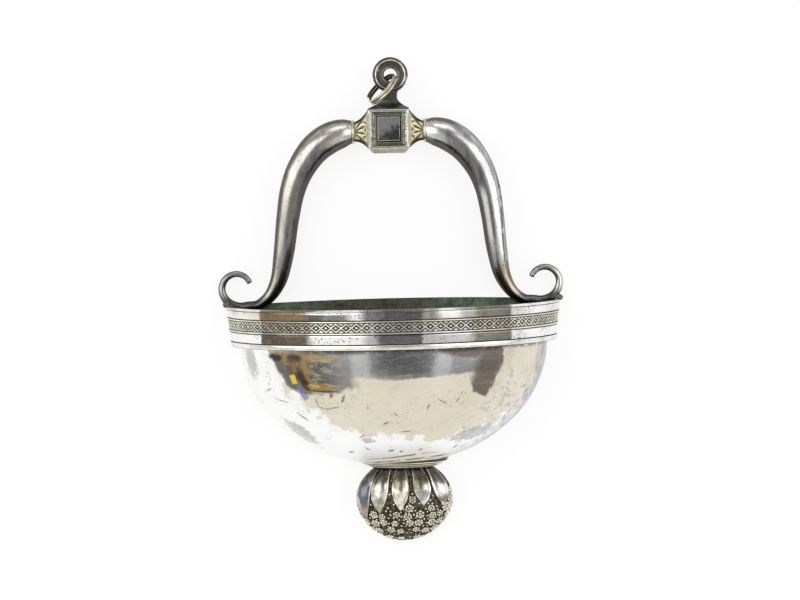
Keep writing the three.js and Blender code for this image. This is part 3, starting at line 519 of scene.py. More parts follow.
# Block: how far in from its sides and from its top, how far behind its front, corner and level
BLOCK_STEPS = [
    (0.0, 0.0, BLOCK_DEPTH - BLOCK_SHEET - SEAM, 0.3, 0.6),
    (0.0, 0.0, 0.9, 0.3, 0.9),
    (0.1, 0.1, 0.25, 0.35, 1.0),
    (0.4, 0.35, 0.0, 0.4, 1.0),
    (0.75, 0.6, 0.0, 0.4, 0.9),
    (1.05, 0.9, 0.12, 0.4, 0.55),
    (BLOCK_HALF - WINDOW[0] - 1.0, BLOCK_TALL / 2 - WINDOW[1] - 1.0, 0.2, 0.4, 0.48),
    (BLOCK_HALF - WINDOW[0], BLOCK_TALL / 2 - WINDOW[1], 0.25, 0.3, 0.3),
    (BLOCK_HALF - WINDOW[0], BLOCK_TALL / 2 - WINDOW[1], 1.6, 0.3, 0.0),
]
# Window bead: how far out from the window, how far proud, and level
BEAD_STEPS = [
    (0.0, 0.0, 0.3),
    (0.0, 0.55, 0.5),
    (0.12, 0.75, 1.0),
    (0.32, 0.75, 0.9),
    (0.45, 0.4, 0.2),
    (0.6, 0.35, 0.3),
    (0.75, 0.5, 0.55),
    (1.5, 0.45, 0.5),
    (1.5, 0.0, 0.3),
    (0.0, 0.0, 0.3),
]
# Window panel: how far in from the window, how far behind the panel's front, and level
PANEL_STEPS = [
    (0.0, 0.8, 0.0),
    (0.0, 0.0, 0.1),
    (0.35, -0.02, 0.2),
    (0.5, -0.2, 1.0),
    (0.72, -0.2, 1.0),
    (0.85, 0.0, 0.2),
    (3.0, 0.02, 0.2),
    (5.5, 0.03, 0.2),
]


def add_block(aged, framed, dark, bright):
    rings, levels = [], []
    for in_x, in_z, back, corner, level in BLOCK_STEPS:
        rings.append(rectangle(BLOCK_HALF - in_x, BLOCK_TALL / 2 - in_z, BLOCK_FRONT + back, corner))
        levels.append(side_levels(rings[-1], level, level > 0.75, 0.5, 0.4))
    add_skin("block", "centre_block", "dulled", aged, rings, levels, capped=False)

    rings, levels = [], []
    for out, proud, level in BEAD_STEPS:
        y = BLOCK_FRONT - SEAM + 0.15 - 0.85 * proud
        rings.append(rectangle(WINDOW[0] + out, WINDOW[1] + out, y, 0.25 + 0.3 * out))
        levels.append(side_levels(rings[-1], level, out < 0.4, 0.4, 0.35))
    add_skin("window_bead", "panel_frame", "gilt", framed, rings, levels, capped=False)

    rings, levels = [], []
    for inset, back, level in PANEL_STEPS:
        wide, tall = (half - SEAM - inset for half in WINDOW)
        rings.append(rectangle(wide, tall, BLOCK_FRONT + PANEL_SUNK + back, 0.2))
        levels.append([level] * len(rings[-1]))
    add_skin("window_panel", "sunk_panel", "oxidised", dark, rings, levels)

    rings = []
    for share, drop in ((0.0, 0.0), (0.02, 0.15), (0.92, 1.0), (1.0, 1.0)):
        taper, foot_z = FOOT_THICK * share, BLOCK_LOW - SEAM - FOOT_THICK * drop
        rings.append(flat_rectangle(BLOCK_HALF - taper, BLOCK_DEPTH / 2 - taper, foot_z, 0.5))
    add_skin("block_base", "block_foot", "silver", bright, rings)


# Ferrules: square trumpets with a fan of leaves raised on the front face
def fan_leaf(share, across, half_z):
    run = (1.08 - share) * FERRULE_LENGTH
    side = across * half_z
    angle = math.degrees(math.atan2(abs(side), run))
    length = math.hypot(run, side) / FERRULE_LENGTH
    height, line = 0.0, 0.0
    for lobe, width, reach in ((0.0, 15.0, 0.86), (33.0, 13.0, 1.0), (60.0, 11.0, 1.2)):
        off = abs(angle - lobe) / width
        inside = smooth(length, reach, reach - 0.2) * smooth(length, 0.05, 0.25)
        if off < 1:
            height = max(height, math.sqrt(1 - off * off) * inside)
            line = max(line, line_at(off, 0, 0.14) * inside * 0.8)
        line = max(line, line_at(off, 1, 0.2) * inside, line_at(length, reach, 0.06) * max(1 - off, 0))
    return height, line


def ferrule_ring(side, share):
    flare = (1 - share) ** 1.8
    half_z = lerp(FERRULE_NARROW, BLOCK_TALL / 2 + SEAM, flare)
    face_z = lerp(FERRULE_NARROW - 1.0, BLOCK_TALL / 2 - 0.4, (1 - share) ** 3.4)
    half_y = lerp(FERRULE_NARROW, BLOCK_DEPTH / 2, flare)
    front, rear = HANDLE_Y - half_y, HANDLE_Y + half_y
    points, levels = [(front + 1.8, -half_z), (front + 0.4, -face_z - 0.2)], [0.0, 0.0]
    for across in np.linspace(-1, 1, 65):
        edge = smooth(abs(across), 1.0, 0.93)
        high, line = fan_leaf(share, across, face_z)
        points.append((front - 0.6 * high * edge + 0.15 * (1 - edge), face_z * across))
        levels.append(max(0.75 + 0.25 * high - 1.3 * line, 0.0))
    points += [(front + 0.4, face_z + 0.2), (front + 1.8, half_z)]
    points += [(lerp(front, rear, number / 8), half_z) for number in range(1, 8)]
    points += [(rear, lerp(half_z, -half_z, number / 8)) for number in range(8)]
    points += [(lerp(rear, front, number / 8), -half_z) for number in range(8)]
    x = side * (BLOCK_HALF + SEAM + FERRULE_LENGTH * share)
    z = lerp(BLOCK_MIDDLE, TUBE_START_Z, share)
    return [(x, y, z + up) for y, up in points], levels + [0.0] * (len(points) - len(levels))


def tube_ring(side, share):
    radius = TUBE_START_RADIUS - 0.15 + 0.35 * math.sin(math.pi * share)
    x = side * (FERRULE_END + SEAM * 0.3 + (RING_THICK + 1.4 * SEAM) * share)
    return [(x, HANDLE_Y + radius * math.cos(turn), TUBE_START_Z + radius * math.sin(turn))
            for turn in circle(64)]


def add_ferrules(gilt, bright):
    for side, word in SIDES:
        sections = [ferrule_ring(side, share) for share in np.linspace(0, 1, 37)]
        rings, levels = zip(*sections)
        add_skin(f"socket_{word}", f"ferrule_{word}", "gilt", gilt, rings, levels, sharp=50)
        rings = [tube_ring(side, share) for share in np.linspace(0, 1, 13)]
        add_skin(f"collar_ring_{word}", f"tube_ring_{word}", "silver", bright, rings)


# The eye, a turned ring with a raised line on both faces: radius, share of thickness and level; the low
# levels on the hole's wall are painted shade
EYE_OUTLINE = [
    (EYE_HOLE, 0.0, 0.0),
    (EYE_HOLE + 0.08, 0.35, 0.0),
    (EYE_HOLE + 0.35, 0.66, 0.5),
    (EYE_HOLE + 0.75, 0.8, 0.75),
    (EYE_HOLE + 1.15, 0.8, 0.1),
    (EYE_HOLE + 1.5, 0.7, 0.0),
    (EYE_STEP - 1.1, 0.68, 0.1),
    (EYE_STEP - 0.55, 0.74, 0.1),
    (EYE_STEP - 0.2, 0.97, 0.6),
    (EYE_STEP + 0.1, 1.0, 1.0),
    (EYE_STEP + 0.4, 0.86, 0.4),
    (EYE_STEP + 0.8, 0.7, 0.0),
    (EYE_OUTER - 0.35, 0.55, 0.25),
    (EYE_OUTER, 0.25, 0.3),
]


def add_eye(foot_material, eye_material):
    foot_low = BLOCK_HIGH + SEAM
    neck = foot_low + EYE_FOOT_HEIGHT
    rings = [flat_rectangle(BLOCK_HALF + SEAM, BLOCK_DEPTH / 2, foot_low, 0.4)]
    for share in np.linspace(0, 1, 25):
        half_x = lerp(EYE_STEM_HALF, BLOCK_HALF + SEAM, (1 - share) ** 1.9)
        half_y = lerp(EYE_HALF_THICK, BLOCK_DEPTH / 2, (1 - share) ** 3.2)
        rings.append(flat_rectangle(half_x, half_y, lerp(foot_low + 0.7, neck, share), 0.5, EYE_X * share))
    add_skin("eye_base", "eye_foot", "dulled", foot_material, rings)

    rear = [(radius, -share, level) for radius, share, level in EYE_OUTLINE[:0:-1]]
    section = EYE_OUTLINE + rear
    rings = []
    for turn in np.linspace(0, 2 * math.pi, 97):
        rings.append([(EYE_X + radius * math.cos(turn), HANDLE_Y - share * EYE_HALF_THICK,
                       EYE_Z + radius * math.sin(turn)) for radius, share, _ in section])
    levels = [[level for _, _, level in section]] * len(rings)
    stem = []
    for share in np.linspace(0, 1, 9):
        wide, deep = EYE_STEM_HALF + 1.2 * share**3, lerp(2.25, 1.6, share)
        stem.append(flat_rectangle(wide, deep, lerp(neck - SEAM, EYE_Z - EYE_STEP, share), 0.6, EYE_X))
    stem_levels = [[0.2] * len(stem[0])] * len(stem)
    skins = [skin(rings, capped=False, raised=levels), skin(stem, raised=stem_levels)]
    add_piece("eye", skins, eye_material, ["suspension_eye"], "dulled")


# Split ring: two turns of wire, lying down to the left
def add_ring(material):
    flat = np.array([math.cos(SPLIT_LIE), 0.0, math.sin(SPLIT_LIE)])
    wall = np.array([0.0, 1.0, 0.0])
    down = flat * math.cos(SPLIT_LEAN) - wall * math.sin(SPLIT_LEAN)
    back = flat * math.sin(SPLIT_LEAN) + wall * math.cos(SPLIT_LEAN)
    sideways = np.array([flat[2], 0.0, -flat[0]])
    across = sideways * math.sin(SPLIT_TILT) + back * math.cos(SPLIT_TILT)
    axis = np.cross(down, across)
    angles = circle(16)
    rings = []
    for share in np.linspace(0, 1, 100 * SPLIT_TURNS + 1):
        turn = SPLIT_START + 2 * math.pi * SPLIT_TURNS * share
        out = down * math.cos(turn) + across * math.sin(turn)
        middle = SPLIT_PLACE + out * SPLIT_RADIUS + axis * SPLIT_PITCH * SPLIT_TURNS * (share - 0.5)
        to_end = min(share, 1 - share) * SPLIT_TURNS * 2 * math.pi * SPLIT_RADIUS
        wire = SPLIT_WIRE * (1 - 0.35 * max(1 - to_end / 0.5, 0) ** 2)
        rings.append([middle + (out * math.cos(angle) + axis * math.sin(angle)) * wire for angle in angles])
    # Painted shade: each wire is darker on the side that faces into the ring
    levels = [[0.55 + 0.45 * math.cos(angle) for angle in angles]] * len(rings)
    add_skin("split_ring", "jump_ring", "dulled", material, rings, levels, body="ring")


# Collar and finial
def add_collar(material):
    top = FLOOR_Z + 2.5
    first = FLOOR_Z + 0.8
    height = (first - COLLAR_LOW) / COLLAR_RIDGES
    section, level = [(COLLAR_INNER, top), (COLLAR_TOP_HALF + 1, top)], [0.0, 0.6]
    for ridge in range(COLLAR_RIDGES):
        for share in np.linspace(0.06, 0.97, 11):
            half = lerp(COLLAR_TOP_HALF, COLLAR_LOW_HALF, ((ridge + share) / COLLAR_RIDGES) ** 1.2)
            swell = math.sin(math.pi * share)
            section.append((half + 0.8 * swell - 0.3, first - (ridge + share) * height))
            level.append(smooth(swell, 0.25, 0.8))
    section.append((COLLAR_INNER, COLLAR_LOW))
    level.append(0.0)
    rings = half_round([(half, half * DEPTH_SHARE, z) for half, z in section], 110, FINIAL_SHIFT)
    add_skin("collar", "finial_collar", "silver", material, rings, [level] * len(rings))


def finial_size(z):
    above = z > FINIAL_WIDEST
    reach = FINIAL_UPPER if above else FINIAL_LOWER
    power = 2 if above else LOWER_POINTING
    share = min(abs(z - FINIAL_WIDEST) / reach, 1)
    wide = (1 - share**power) ** (1 / power)
    deep = (1 + wide) / 2 if above else wide
    return max(FINIAL_HALF * wide, 1e-3), max(FINIAL_DEPTH * deep, 1e-3)


def finial_point(turn, z, lift=0.0):
    half, deep = finial_size(z)
    x, y = half * math.cos(turn), -deep * math.sin(turn)
    slope = (finial_size(z + 0.1)[0] - finial_size(z - 0.1)[0]) / 0.2
    normal = Vector((x / half**2, y / deep**2, 0)).normalized()
    normal.z = -min(max(slope, -3), 3)
    normal.normalize()
    return np.array([FINIAL_SHIFT + x, FRONT_OF_BACK + y, z]) + np.array(normal) * lift


# How far the finial's surface runs for each radian round it
def finial_reach(turn, z):
    half, deep = finial_size(z)
    return math.hypot(half * math.sin(turn), deep * math.cos(turn))


def petal_swell(share):
    shoulder = lerp(0.55, 1, math.sin(math.pi * min(share, 0.5)))
    return shoulder * (1 - 3.76 * max(share - 0.5, 0) ** 2)


def under_leaf(turn, z, room):
    for degrees, length in zip(PETAL_TURNS, PETAL_LENGTHS):
        share = (PETAL_TOP - z - room) / length
        away = abs(turn - math.radians(degrees)) * finial_reach(turn, z)
        if share <= 1 and away < PETAL_WIDTH / 2 * petal_swell(max(share, 0)) + room:
            return True
    return False


# The finial's surface at one place: where it is, outwards, sideways and up
def finial_place(turn, z):
    here = finial_point(turn, z)
    outward = finial_point(turn, z, 1.0) - here
    side = np.cross(outward, (0, 0, 1))
    side /= np.linalg.norm(side)
    return here, outward, side, np.cross(side, outward)


def around(place, angle, out, lift):
    here, outward, side, up = place
    return here + (side * math.cos(angle) + up * math.sin(angle)) * out + outward * lift


# Height of a flower at a share of its radius: lobes round a bud of three seeds
def flower_height(share, wave, seeds):
    if share > BUD_SHARE:
        return math.sin(math.pi * (1 - share) / 0.54) ** 0.6 * smooth(wave, 0.05, 0.5)
    return 0.9 * math.sin(math.pi * (1 - share / BUD_SHARE)) ** 0.7 * smooth(seeds, 0.1, 0.6)


def rosette(turn, z, seed):
    place = finial_place(turn, z)
    size = ROSETTE_RADIUS * (1.0 + 0.12 * math.sin(5.1 * seed))
    spin = 1.7 * seed
    rings, levels = [], []
    for share in (1.0, 0.95, 0.87, 0.78, 0.69, 0.61, 0.54, 0.48, 0.42, 0.34, 0.26, 0.17, 0.09, 0.02):
        ring, level = [], []
        for angle in circle(40):
            wave = abs(math.cos(3 * angle + spin))
            high = flower_height(share, wave, abs(math.cos(1.5 * angle - spin)))
            lift = -0.45 if share == 1.0 else (0.9 * high + 0.15) * lerp(0.25, 1, math.sin(turn) ** 2)
            ring.append(around(place, angle, size * share * (0.86 + 0.14 * wave**0.6), lift))
            level.append(high)
        rings.append(ring)
        levels.append(level)
    return skin(rings, raised=levels)


# A bud between the flowers
def bud(turn, z, size):
    place = finial_place(turn, z)
    rings, levels = [], []
    for rise in (-0.3, 0.0, 0.3, 0.6, 0.85, 0.99):
        out = size * math.sqrt(1 - rise * rise)
        rings.append([around(place, angle, out, size * rise) for angle in circle(14)])
        levels.append([max(rise, 0.0)] * 14)
    return skin(rings, raised=levels)


def add_ground(material):
    rings, levels = [], []
    steps, sides = 110, 150
    low = FINIAL_WIDEST - FINIAL_LOWER
    for step in range(steps + 1):
        share = (1 - math.cos(math.pi * step / steps)) / 2
        z = lerp(FINIAL_TOP, low, 0.5 * share + 0.5 * step / steps)
        half, _ = finial_size(z)
        ring, level = [], []
        for number in range(sides + 1):
            turn = math.pi * number / sides
            dotted = 0 < number < sides and half > 1
            stipple = waves(finial_point(turn, z), 0.9, 4.0) if dotted else 0.0
            ring.append(finial_point(turn, z, min(STIPPLE * stipple, 0.12)))
            level.append(0.5 + 1.2 * stipple)
        ring += [(FINIAL_SHIFT - half, FRONT_OF_BACK, z), (FINIAL_SHIFT + half, FRONT_OF_BACK, z)]
        rings.append(ring)
        levels.append(level + [0.0, 0.0])
    add_skin("finial_ground", "finial_shell", "oxidised", material, rings, levels)


# Rows of flowers, each with three buds: how far on the bud stands, how far down, and its size
BUDS = ((0.5, 0.2, 0.62), (0.3, 1.9, 0.5), (0.7, 1.8, 0.56))


def add_flowers(material):
    flowers = []
    for row in range(ROSETTE_ROWS):
        z = FINIAL_TOP - 11.6 - row * ROSETTE_ROW
        half, deep = finial_size(z)
        length = math.pi * math.sqrt((half**2 + deep**2) / 2)
        count = max(int(length / ROSETTE_PITCH), 1)
        for index in range(count):
            spot = index + (0.25 if row % 2 else 0.75) + 0.14 * math.sin(3.7 * index + 2.3 * row)
            low = z + 0.45 * math.sin(2.9 * index + row)
            turn = math.pi * min(max(spot / count, 0.07), 0.93)
            if not under_leaf(turn, low, 0.75 * ROSETTE_RADIUS):
                flowers.append(rosette(turn, low, row * 7.0 + index))
            for step, down, size in BUDS:
                between = math.pi * min(max((spot + step) / count, 0.05), 0.95)
                if not under_leaf(between, low - down, 0.4):
                    flowers.append(bud(between, low - down, size))
    add_piece("rosettes", flowers, material, [], "oxidised", sharp=60)


# One leaf: crowned along its middle, with a fine raised edge
def add_leaf(number, centre, length, material):
    rings, levels = [], []
    for share in np.linspace(0, 1, 41):
        z = PETAL_TOP - length * share
        swell = petal_swell(share)
        half_turn = PETAL_WIDTH / 2 * swell / finial_reach(centre, z)
        crown = PETAL_CROWN * math.sin(math.pi * (0.12 + 0.8 * share)) * swell
        ring = [finial_point(centre + across * half_turn, z, 0.1) for across in (-1, 0, 1)]
        level = [0.0] * len(ring)
        for across in np.linspace(1, -1, 25):
            rim, groove = line_at(abs(across), 0.92, 0.11), line_at(abs(across), 0.8, 0.09)
            lift = SEAM + 0.5 + crown * (1 - across**2) + 0.22 * rim - 0.16 * groove
            ring.append(finial_point(centre + across * half_turn, z, lift))
            level.append(max(rim, 0.5 - 0.3 * groove))
        rings.append(ring)
        levels.append(level)
    add_skin(f"leaf_{number}", f"petal_{number}", "silver", material, rings, levels)


def add_finial(ground, flower, leaf):
    add_ground(ground)
    add_flowers(flower)
    for index, (degrees, length) in enumerate(zip(PETAL_TURNS, PETAL_LENGTHS)):
        add_leaf(index + 1, math.radians(degrees), length, leaf)


# A tree of nodes, with short ways to add and join them
class Nodes:
    def __init__(self, owner):
        owner.use_nodes = True
        self.tree = owner.node_tree

    def node(self, kind, inputs=None, **settings):
        node = self.tree.nodes.new(kind)
        for key, value in settings.items():
            setattr(node, key, value)
        return self.fill(node, inputs or {})

    def fill(self, node, inputs):
        for key, value in inputs.items():
            if isinstance(value, bpy.types.NodeSocket):
                self.tree.links.new(value, node.inputs[key])
            else:
                node.inputs[key].default_value = value
        return node

    def math(self, operation, first, second=0.0, third=0.0):
        inputs = {0: first, 1: second, 2: third}
        return self.node("ShaderNodeMath", inputs, operation=operation).outputs["Value"]

    def times(self, result, *others):
        for other in others:
            result = self.math("MULTIPLY", result, other)
        return result

    def most(self, result, *others):
        for other in others:
            result = self.math("MAXIMUM", result, other)
        return result

    # Adds parts to a base, each a value and what it is multiplied by
    def total(self, base, *parts):
        for value, factor in parts:
            base = self.math("MULTIPLY_ADD", value, factor, base)
        return base

    def axes(self, vector):
        return self.node("ShaderNodeSeparateXYZ", {"Vector": vector}).outputs


# The node tree of one finish of the metal, with places in millimetres
class Finish(Nodes):
    def __init__(self, name):
        self.material = bpy.data.materials.new(name)
        super().__init__(self.material)
        self.shader = self.tree.nodes["Principled BSDF"]
        coords = self.node("ShaderNodeTexCoord").outputs
        self.normal = coords["Normal"]
        scaling = {0: coords["Object"], "Scale": 1 / MM}
        self.place = self.node("ShaderNodeVectorMath", scaling, operation="SCALE").outputs["Vector"]
        split = self.axes(self.place)
        self.x, self.z = split["X"], split["Z"]

    # Rises smoothly from 0 at low to 1 at high, or falls where low is the larger
    def step(self, value, low, high):
        rising = low < high
        inputs = {"Value": value, "From Min": min(low, high), "From Max": max(low, high)}
        inputs.update({"To Min": 0.0 if rising else 1.0, "To Max": 1.0 if rising else 0.0})
        return self.node("ShaderNodeMapRange", inputs, interpolation_type="SMOOTHSTEP").outputs["Result"]

    # A step over how far a value is from a middle one
    def off(self, value, middle, low, high):
        return self.step(self.math("ABSOLUTE", self.math("SUBTRACT", value, middle)), low, high)

    def grain(self, place, factors, shift, detail, rough):
        moved = self.node("ShaderNodeVectorMath", {0: place, 1: factors, 2: shift}, operation="MULTIPLY_ADD")
        inputs = {"Vector": moved.outputs["Vector"], "Scale": 1.0, "Detail": detail, "Roughness": rough}
        return self.node("ShaderNodeTexNoise", inputs).outputs["Fac"]

    def cloud(self, size, detail, stretch=(1, 1, 1), rough=0.55, seed=0.0):
        factors = tuple(1 / (size * part) for part in stretch)
        return self.grain(self.place, factors, (seed, 1.7 * seed, -seed), detail, rough)

    def scratches(self, angle, seed, size=0.35, long=14.0):
        turn = {"Vector": self.place, "Rotation": (0.0, math.radians(angle), 0.0)}
        turned = self.node("ShaderNodeMapping", turn).outputs["Vector"]
        lines = self.grain(turned, (1 / (size * long), 1 / size, 1 / size), (seed, seed, seed), 2.0, 0.5)
        return self.step(lines, 0.6, 0.74)

    # The bump of worn metal: fine unevenness, cut by scratches at one angle
    def worn(self, angle, seed, size):
        return self.total(self.cloud(size, 4.0, seed=6.0), (self.scratches(angle, seed), -0.3))

    # Small dark spots that gather where a broader cloud allows them
    def specks(self, size, share, where, seed):
        return self.times(self.step(self.cloud(size, 3.0, seed=seed), share, share + 0.06), where)

    def mix(self, share, first, second):
        first, second = ((*paint, 1.0) if isinstance(paint, tuple) else paint for paint in (first, second))
        inputs = {"Factor": share, "A": first, "B": second}
        return self.node("ShaderNodeMix", inputs, data_type="RGBA").outputs["Result"]

    # Lays paints over a colour, each with its amount and mask
    def layered(self, colour, layers):
        for amount, mask, paint in layers:
            colour = self.mix(self.times(mask, amount), colour, paint)
        return colour

    def raised(self):
        return self.node("ShaderNodeAttribute", attribute_name="raised").outputs["Fac"]

    def frayed(self, amount, size, seed):
        return self.total(-amount, (self.cloud(size, 5.0, rough=0.65, seed=seed), 2 * amount))

    # A mark on the front, used for stains and for painted reflections, highlights and shade: at X and Z, with
    # its half length and half height, and a ragged edge
    def stain_and_reflection(self, x, z, long, high, turn, soft, ragged, size, seed):
        cos, sin = math.cos(math.radians(turn)), math.sin(math.radians(turn))
        away = self.frayed(ragged, size, seed)
        for half, of_x, of_z in ((long, cos, sin), (high, -sin, cos)):
            middle = x * of_x + z * of_z
            part = self.total(-middle / half, (self.x, of_x / half), (self.z, of_z / half))
            away = self.total(away, (part, part))
        return self.step(away, 1 + soft, 1 - soft)

    def stains_and_reflections(self, rows):
        return self.most(*[self.stain_and_reflection(*row) for row in rows])

    # A patch on the front between anticlockwise corners: X, Z and how soft the side after it is
    def patch(self, corners, ragged, size=3.0, seed=0.0):
        edge = self.frayed(2 * ragged, size, seed)
        furthest = -10.0
        for (x, z, soft), (next_x, next_z, _) in zip(corners, corners[1:] + corners[:1]):
            length = math.hypot(next_x - x, next_z - z) * soft
            of_x, of_z = (next_z - z) / length, (x - next_x) / length
            away = self.total(-of_x * x - of_z * z, (self.x, of_x), (self.z, of_z), (edge, 1 / soft))
            furthest = self.most(away, furthest)
        return self.step(furthest, 1.0, -1.0)

    def finish(self, colour, roughness, metallic, bump, depth, edge_tint=(1.0, 1.0, 1.0)):
        node = self.node("ShaderNodeBump", {"Height": bump, "Distance": depth * MM, "Strength": 1.0})
        self.fill(self.shader, {"Base Color": colour, "Roughness": roughness, "Metallic": metallic,
                                "Specular Tint": (*edge_tint, 1.0), "Normal": node.outputs["Normal"]})
        return self.material


WHITE = (0.95, 0.95, 0.94)
CREAM = (0.78, 0.73, 0.62)
UMBER = (0.13, 0.105, 0.095)
# Dark soot for specks and joints, also used as painted shade
SOOT_AND_SHADE = (0.035, 0.032, 0.03)

# Patches of painted reflection on the bowl: their corners, how ragged they are, size of the fraying and seed
SLATE_REFLECTION = ([(50, -18, 1), (-33, -18, 6), (-31, -32.5, 4), (-14, -33.2, 0.8), (2, -34.4, 0.6),
                (22, -33.2, 1), (50, -31.5, 2)], 0.7, 3, 2)
OCHRE_REFLECTION = ([(-62, -19, 1), (-57.5, -29, 1), (-50, -39, 1), (-42.5, -41.6, 1.5),
                (-28, -40.4, 1.5), (-19, -37.4, 3), (-24, -19, 5)], 1.2, 4, 4)
SLATE_REFLECTION_EDGE = ([(-60.5, -22, 0.8), (-51.5, -39, 1), (-46.5, -41, 1), (-56.5, -22, 1.2)], 1, 3, 7)
YELLOW_REFLECTION = ([(-48.9, -31.6, 0.3), (-51.2, -32.4, 0.3), (-49.6, -36.6, 0.3), (-47.2, -36, 0.3)], 0.2, 2)
BLUE_REFLECTION = ([(-45.8, -36.6, 0.4), (-48.2, -37.4, 0.4), (-44.2, -45, 0.4), (-41.8, -43.4, 0.4)], 0.4, 2)
UMBER_REFLECTION = ([(53.5, -19, 2), (43, -20, 2.5), (37, -36, 0.8), (38, -42, 0.7), (44, -45, 0.6),
                (48.5, -38, 0.6), (53, -28, 0.5)], 0.9, 3, 8)

# Stains and painted reflections on the bowl: X, Z, half length, half height, turn, softness, how ragged, size
# of the fraying and seed
# Painted cream reflection over the middle of the bowl
CREAM_REFLECTION = (12, -22, 70, 43, 0, 0.06, 0.6, 9, 1)
SLATE_REFLECTION_GAPS = [
    (-16.5, -27, 5, 9, 0, 0.95, 1, 4, 3),
    (23, -28, 4.5, 8.5, -14, 1, 1.6, 2.5, 4),
]
SLATE_REFLECTION_DARK = (4.5, -29, 13, 16, -8, 0.85, 0.9, 5, 5)
BROWN_REFLECTIONS = [
    (-48.5, -23.5, 4, 1.5, -4, 0.7, 0.8, 2.5, 22),
    (-58, -23.6, 3.4, 1.5, -12, 0.6, 1.6, 1.5, 27),
    (-44.4, -34.6, 1.8, 5.6, 31, 0.8, 0.8, 2.5, 28),
    (-34, -39.9, 7, 0.6, -2, 0.8, 1.2, 2, 29),
]
AMBER_REFLECTIONS = [
    (-36, -23.4, 9, 1.7, -3, 0.9, 1.6, 2, 5),
    (-53.8, -24.4, 1.7, 1.6, 0, 0.8, 1, 2, 6),
    (-43.4, -28.5, 1.3, 6.8, 12, 0.9, 1.2, 2.5, 7),
]
GOLDEN_HIGHLIGHT = (-34.8, -37.9, 7.6, 1.7, -3, 0.6, 1, 2, 30)
UMBER_REFLECTION_TOP = (35, -21.5, 12, 3, -6, 0.6, 1, 5, 9)
SMEARS = [
    (-46, -62, 10, 2.6, -38, 0.7, 3, 2.5, 10),
    (38, -63.5, 11, 2.8, 14, 0.7, 3.2, 2.5, 11),
    (-70.5, -26, 2.4, 9, 12, 0.7, 2.4, 2.5, 12),
    (-14, -65.5, 4, 1.2, -5, 0.4, 2.2, 2.5, 15),
]
RUBBED = (57, -46, 16, 14, 30, 0.4, 1, 5, 13)
# Outside this middle, on the right, the bowl's edge gets a painted darker reflection
BRIGHT_MIDDLE = (-2, -20, 75, 59, 0, 0.1, 0.2, 5, 23)
SPECKLED = [
    (-30, -45, 10, 6, 0, 0.4, 0.35, 5, 16),
    (27, -44.5, 10, 4.5, 0, 0.4, 0.35, 5, 17),
    (0, -53.5, 7, 3.5, 35, 0.4, 0.35, 5, 18),
]
# Pale paint near the seat, standing in for a bright reflection
SEAT = (3, -80.5, 26, 7, 6, 0.3, 0.25, 5, 19)
SEAT_SOOT = (23.5, -78.2, 1.6, 1.4, 0, 0.4, 0.8, 1.5, 31)
NEAR_SEAT = (2, -78, 36, 10, 0, 0.8, 0.35, 5, 20)

# Marks in the bowl: X, Z, half length, half width and turn
BOWL_MARKS = [
    (-31, -42, 1.4, 0.8, 80),
    (-25.2, -43.8, 1.9, 0.7, 70),
    (-34.5, -48.6, 3.2, 0.3, -14),
    (-29.8, -48.2, 3.6, 0.3, 8),
    (-38, -45.5, 2.2, 0.3, -62),
    (0.2, -51.8, 1.6, 0.35, -40),
    (-4.6, -56.2, 1.6, 0.4, 20),
    (5.2, -60.8, 2.6, 0.35, 2),
    (23, -46, 2.4, 0.3, -30),
    (30.5, -45.6, 1.6, 0.3, 50),
    (16, -48.5, 1.6, 0.4, 70),
    (-55, -45.5, 3, 0.3, -12),
    (-62, -40, 2, 0.3, 30),
    (-45, -53.5, 3.5, 0.35, -35),
    (-16.5, -63, 1.6, 0.35, 35),
    (-22, -72, 1.3, 0.5, 0),
    (-14, -70, 1.3, 0.4, -30),
    (-2.5, -71.2, 1.5, 0.6, 10),
    (2.4, -71.8, 1, 0.5, 0),
    (12, -71, 1.3, 0.4, 35),
    (29, -70.6, 1.4, 0.4, 40),
]


# Painted reflection of dark surroundings: the bluish grey under the rim, darkest in its middle, with lighter
# gaps and pale scratch lines
def slate_reflection_layers(f, slate, streaks):
    gaps = f.most(f.stains_and_reflections(SLATE_REFLECTION_GAPS), f.step(streaks, 0.56, 0.72))
    dark = f.times(slate, f.stain_and_reflection(*SLATE_REFLECTION_DARK), f.step(streaks, 0.2, 0.5))
    lines = f.most(f.scratches(6.0, 7.0), f.scratches(-24.0, 8.0))
    return [
        (0.95, slate, f.mix(gaps, (0.22, 0.225, 0.24), (0.42, 0.43, 0.44))),
        (0.9, dark, (0.095, 0.095, 0.1)),
        (0.35, f.times(slate, lines), (0.6, 0.6, 0.6)),
    ]


# Painted reflections on the left, mostly in warm colours, with a painted golden highlight
def ochre_reflection_layers(f, ochre):
    light = f.step(f.cloud(2.4, 5.0, (3.0, 1.0, 0.6), 0.7, 21.0), 0.46, 0.62)
    brown = f.mix(light, (0.13, 0.085, 0.045), (0.25, 0.18, 0.1))
    grey = f.mix(light, (0.095, 0.093, 0.085), (0.33, 0.32, 0.28))
    grey = f.mix(f.times(f.step(f.x, -37.0, -22.0), 0.85), grey, (0.27, 0.275, 0.28))
    return [
        (0.97, ochre, f.mix(f.step(f.x, -44.0, -35.0), brown, grey)),
        (0.85, f.patch(*SLATE_REFLECTION_EDGE), (0.15, 0.16, 0.165)),
        (0.7, f.stains_and_reflections(AMBER_REFLECTIONS), (0.32, 0.23, 0.1)),
        (0.85, f.stains_and_reflections(BROWN_REFLECTIONS), (0.05, 0.03, 0.022)),
        (0.9, f.stain_and_reflection(*GOLDEN_HIGHLIGHT), f.mix(light, (0.34, 0.22, 0.07), (0.62, 0.45, 0.19))),
        (0.85, f.patch(*YELLOW_REFLECTION), (0.86, 0.64, 0.12)),
        (0.75, f.patch(*BLUE_REFLECTION), (0.16, 0.22, 0.42)),
    ]


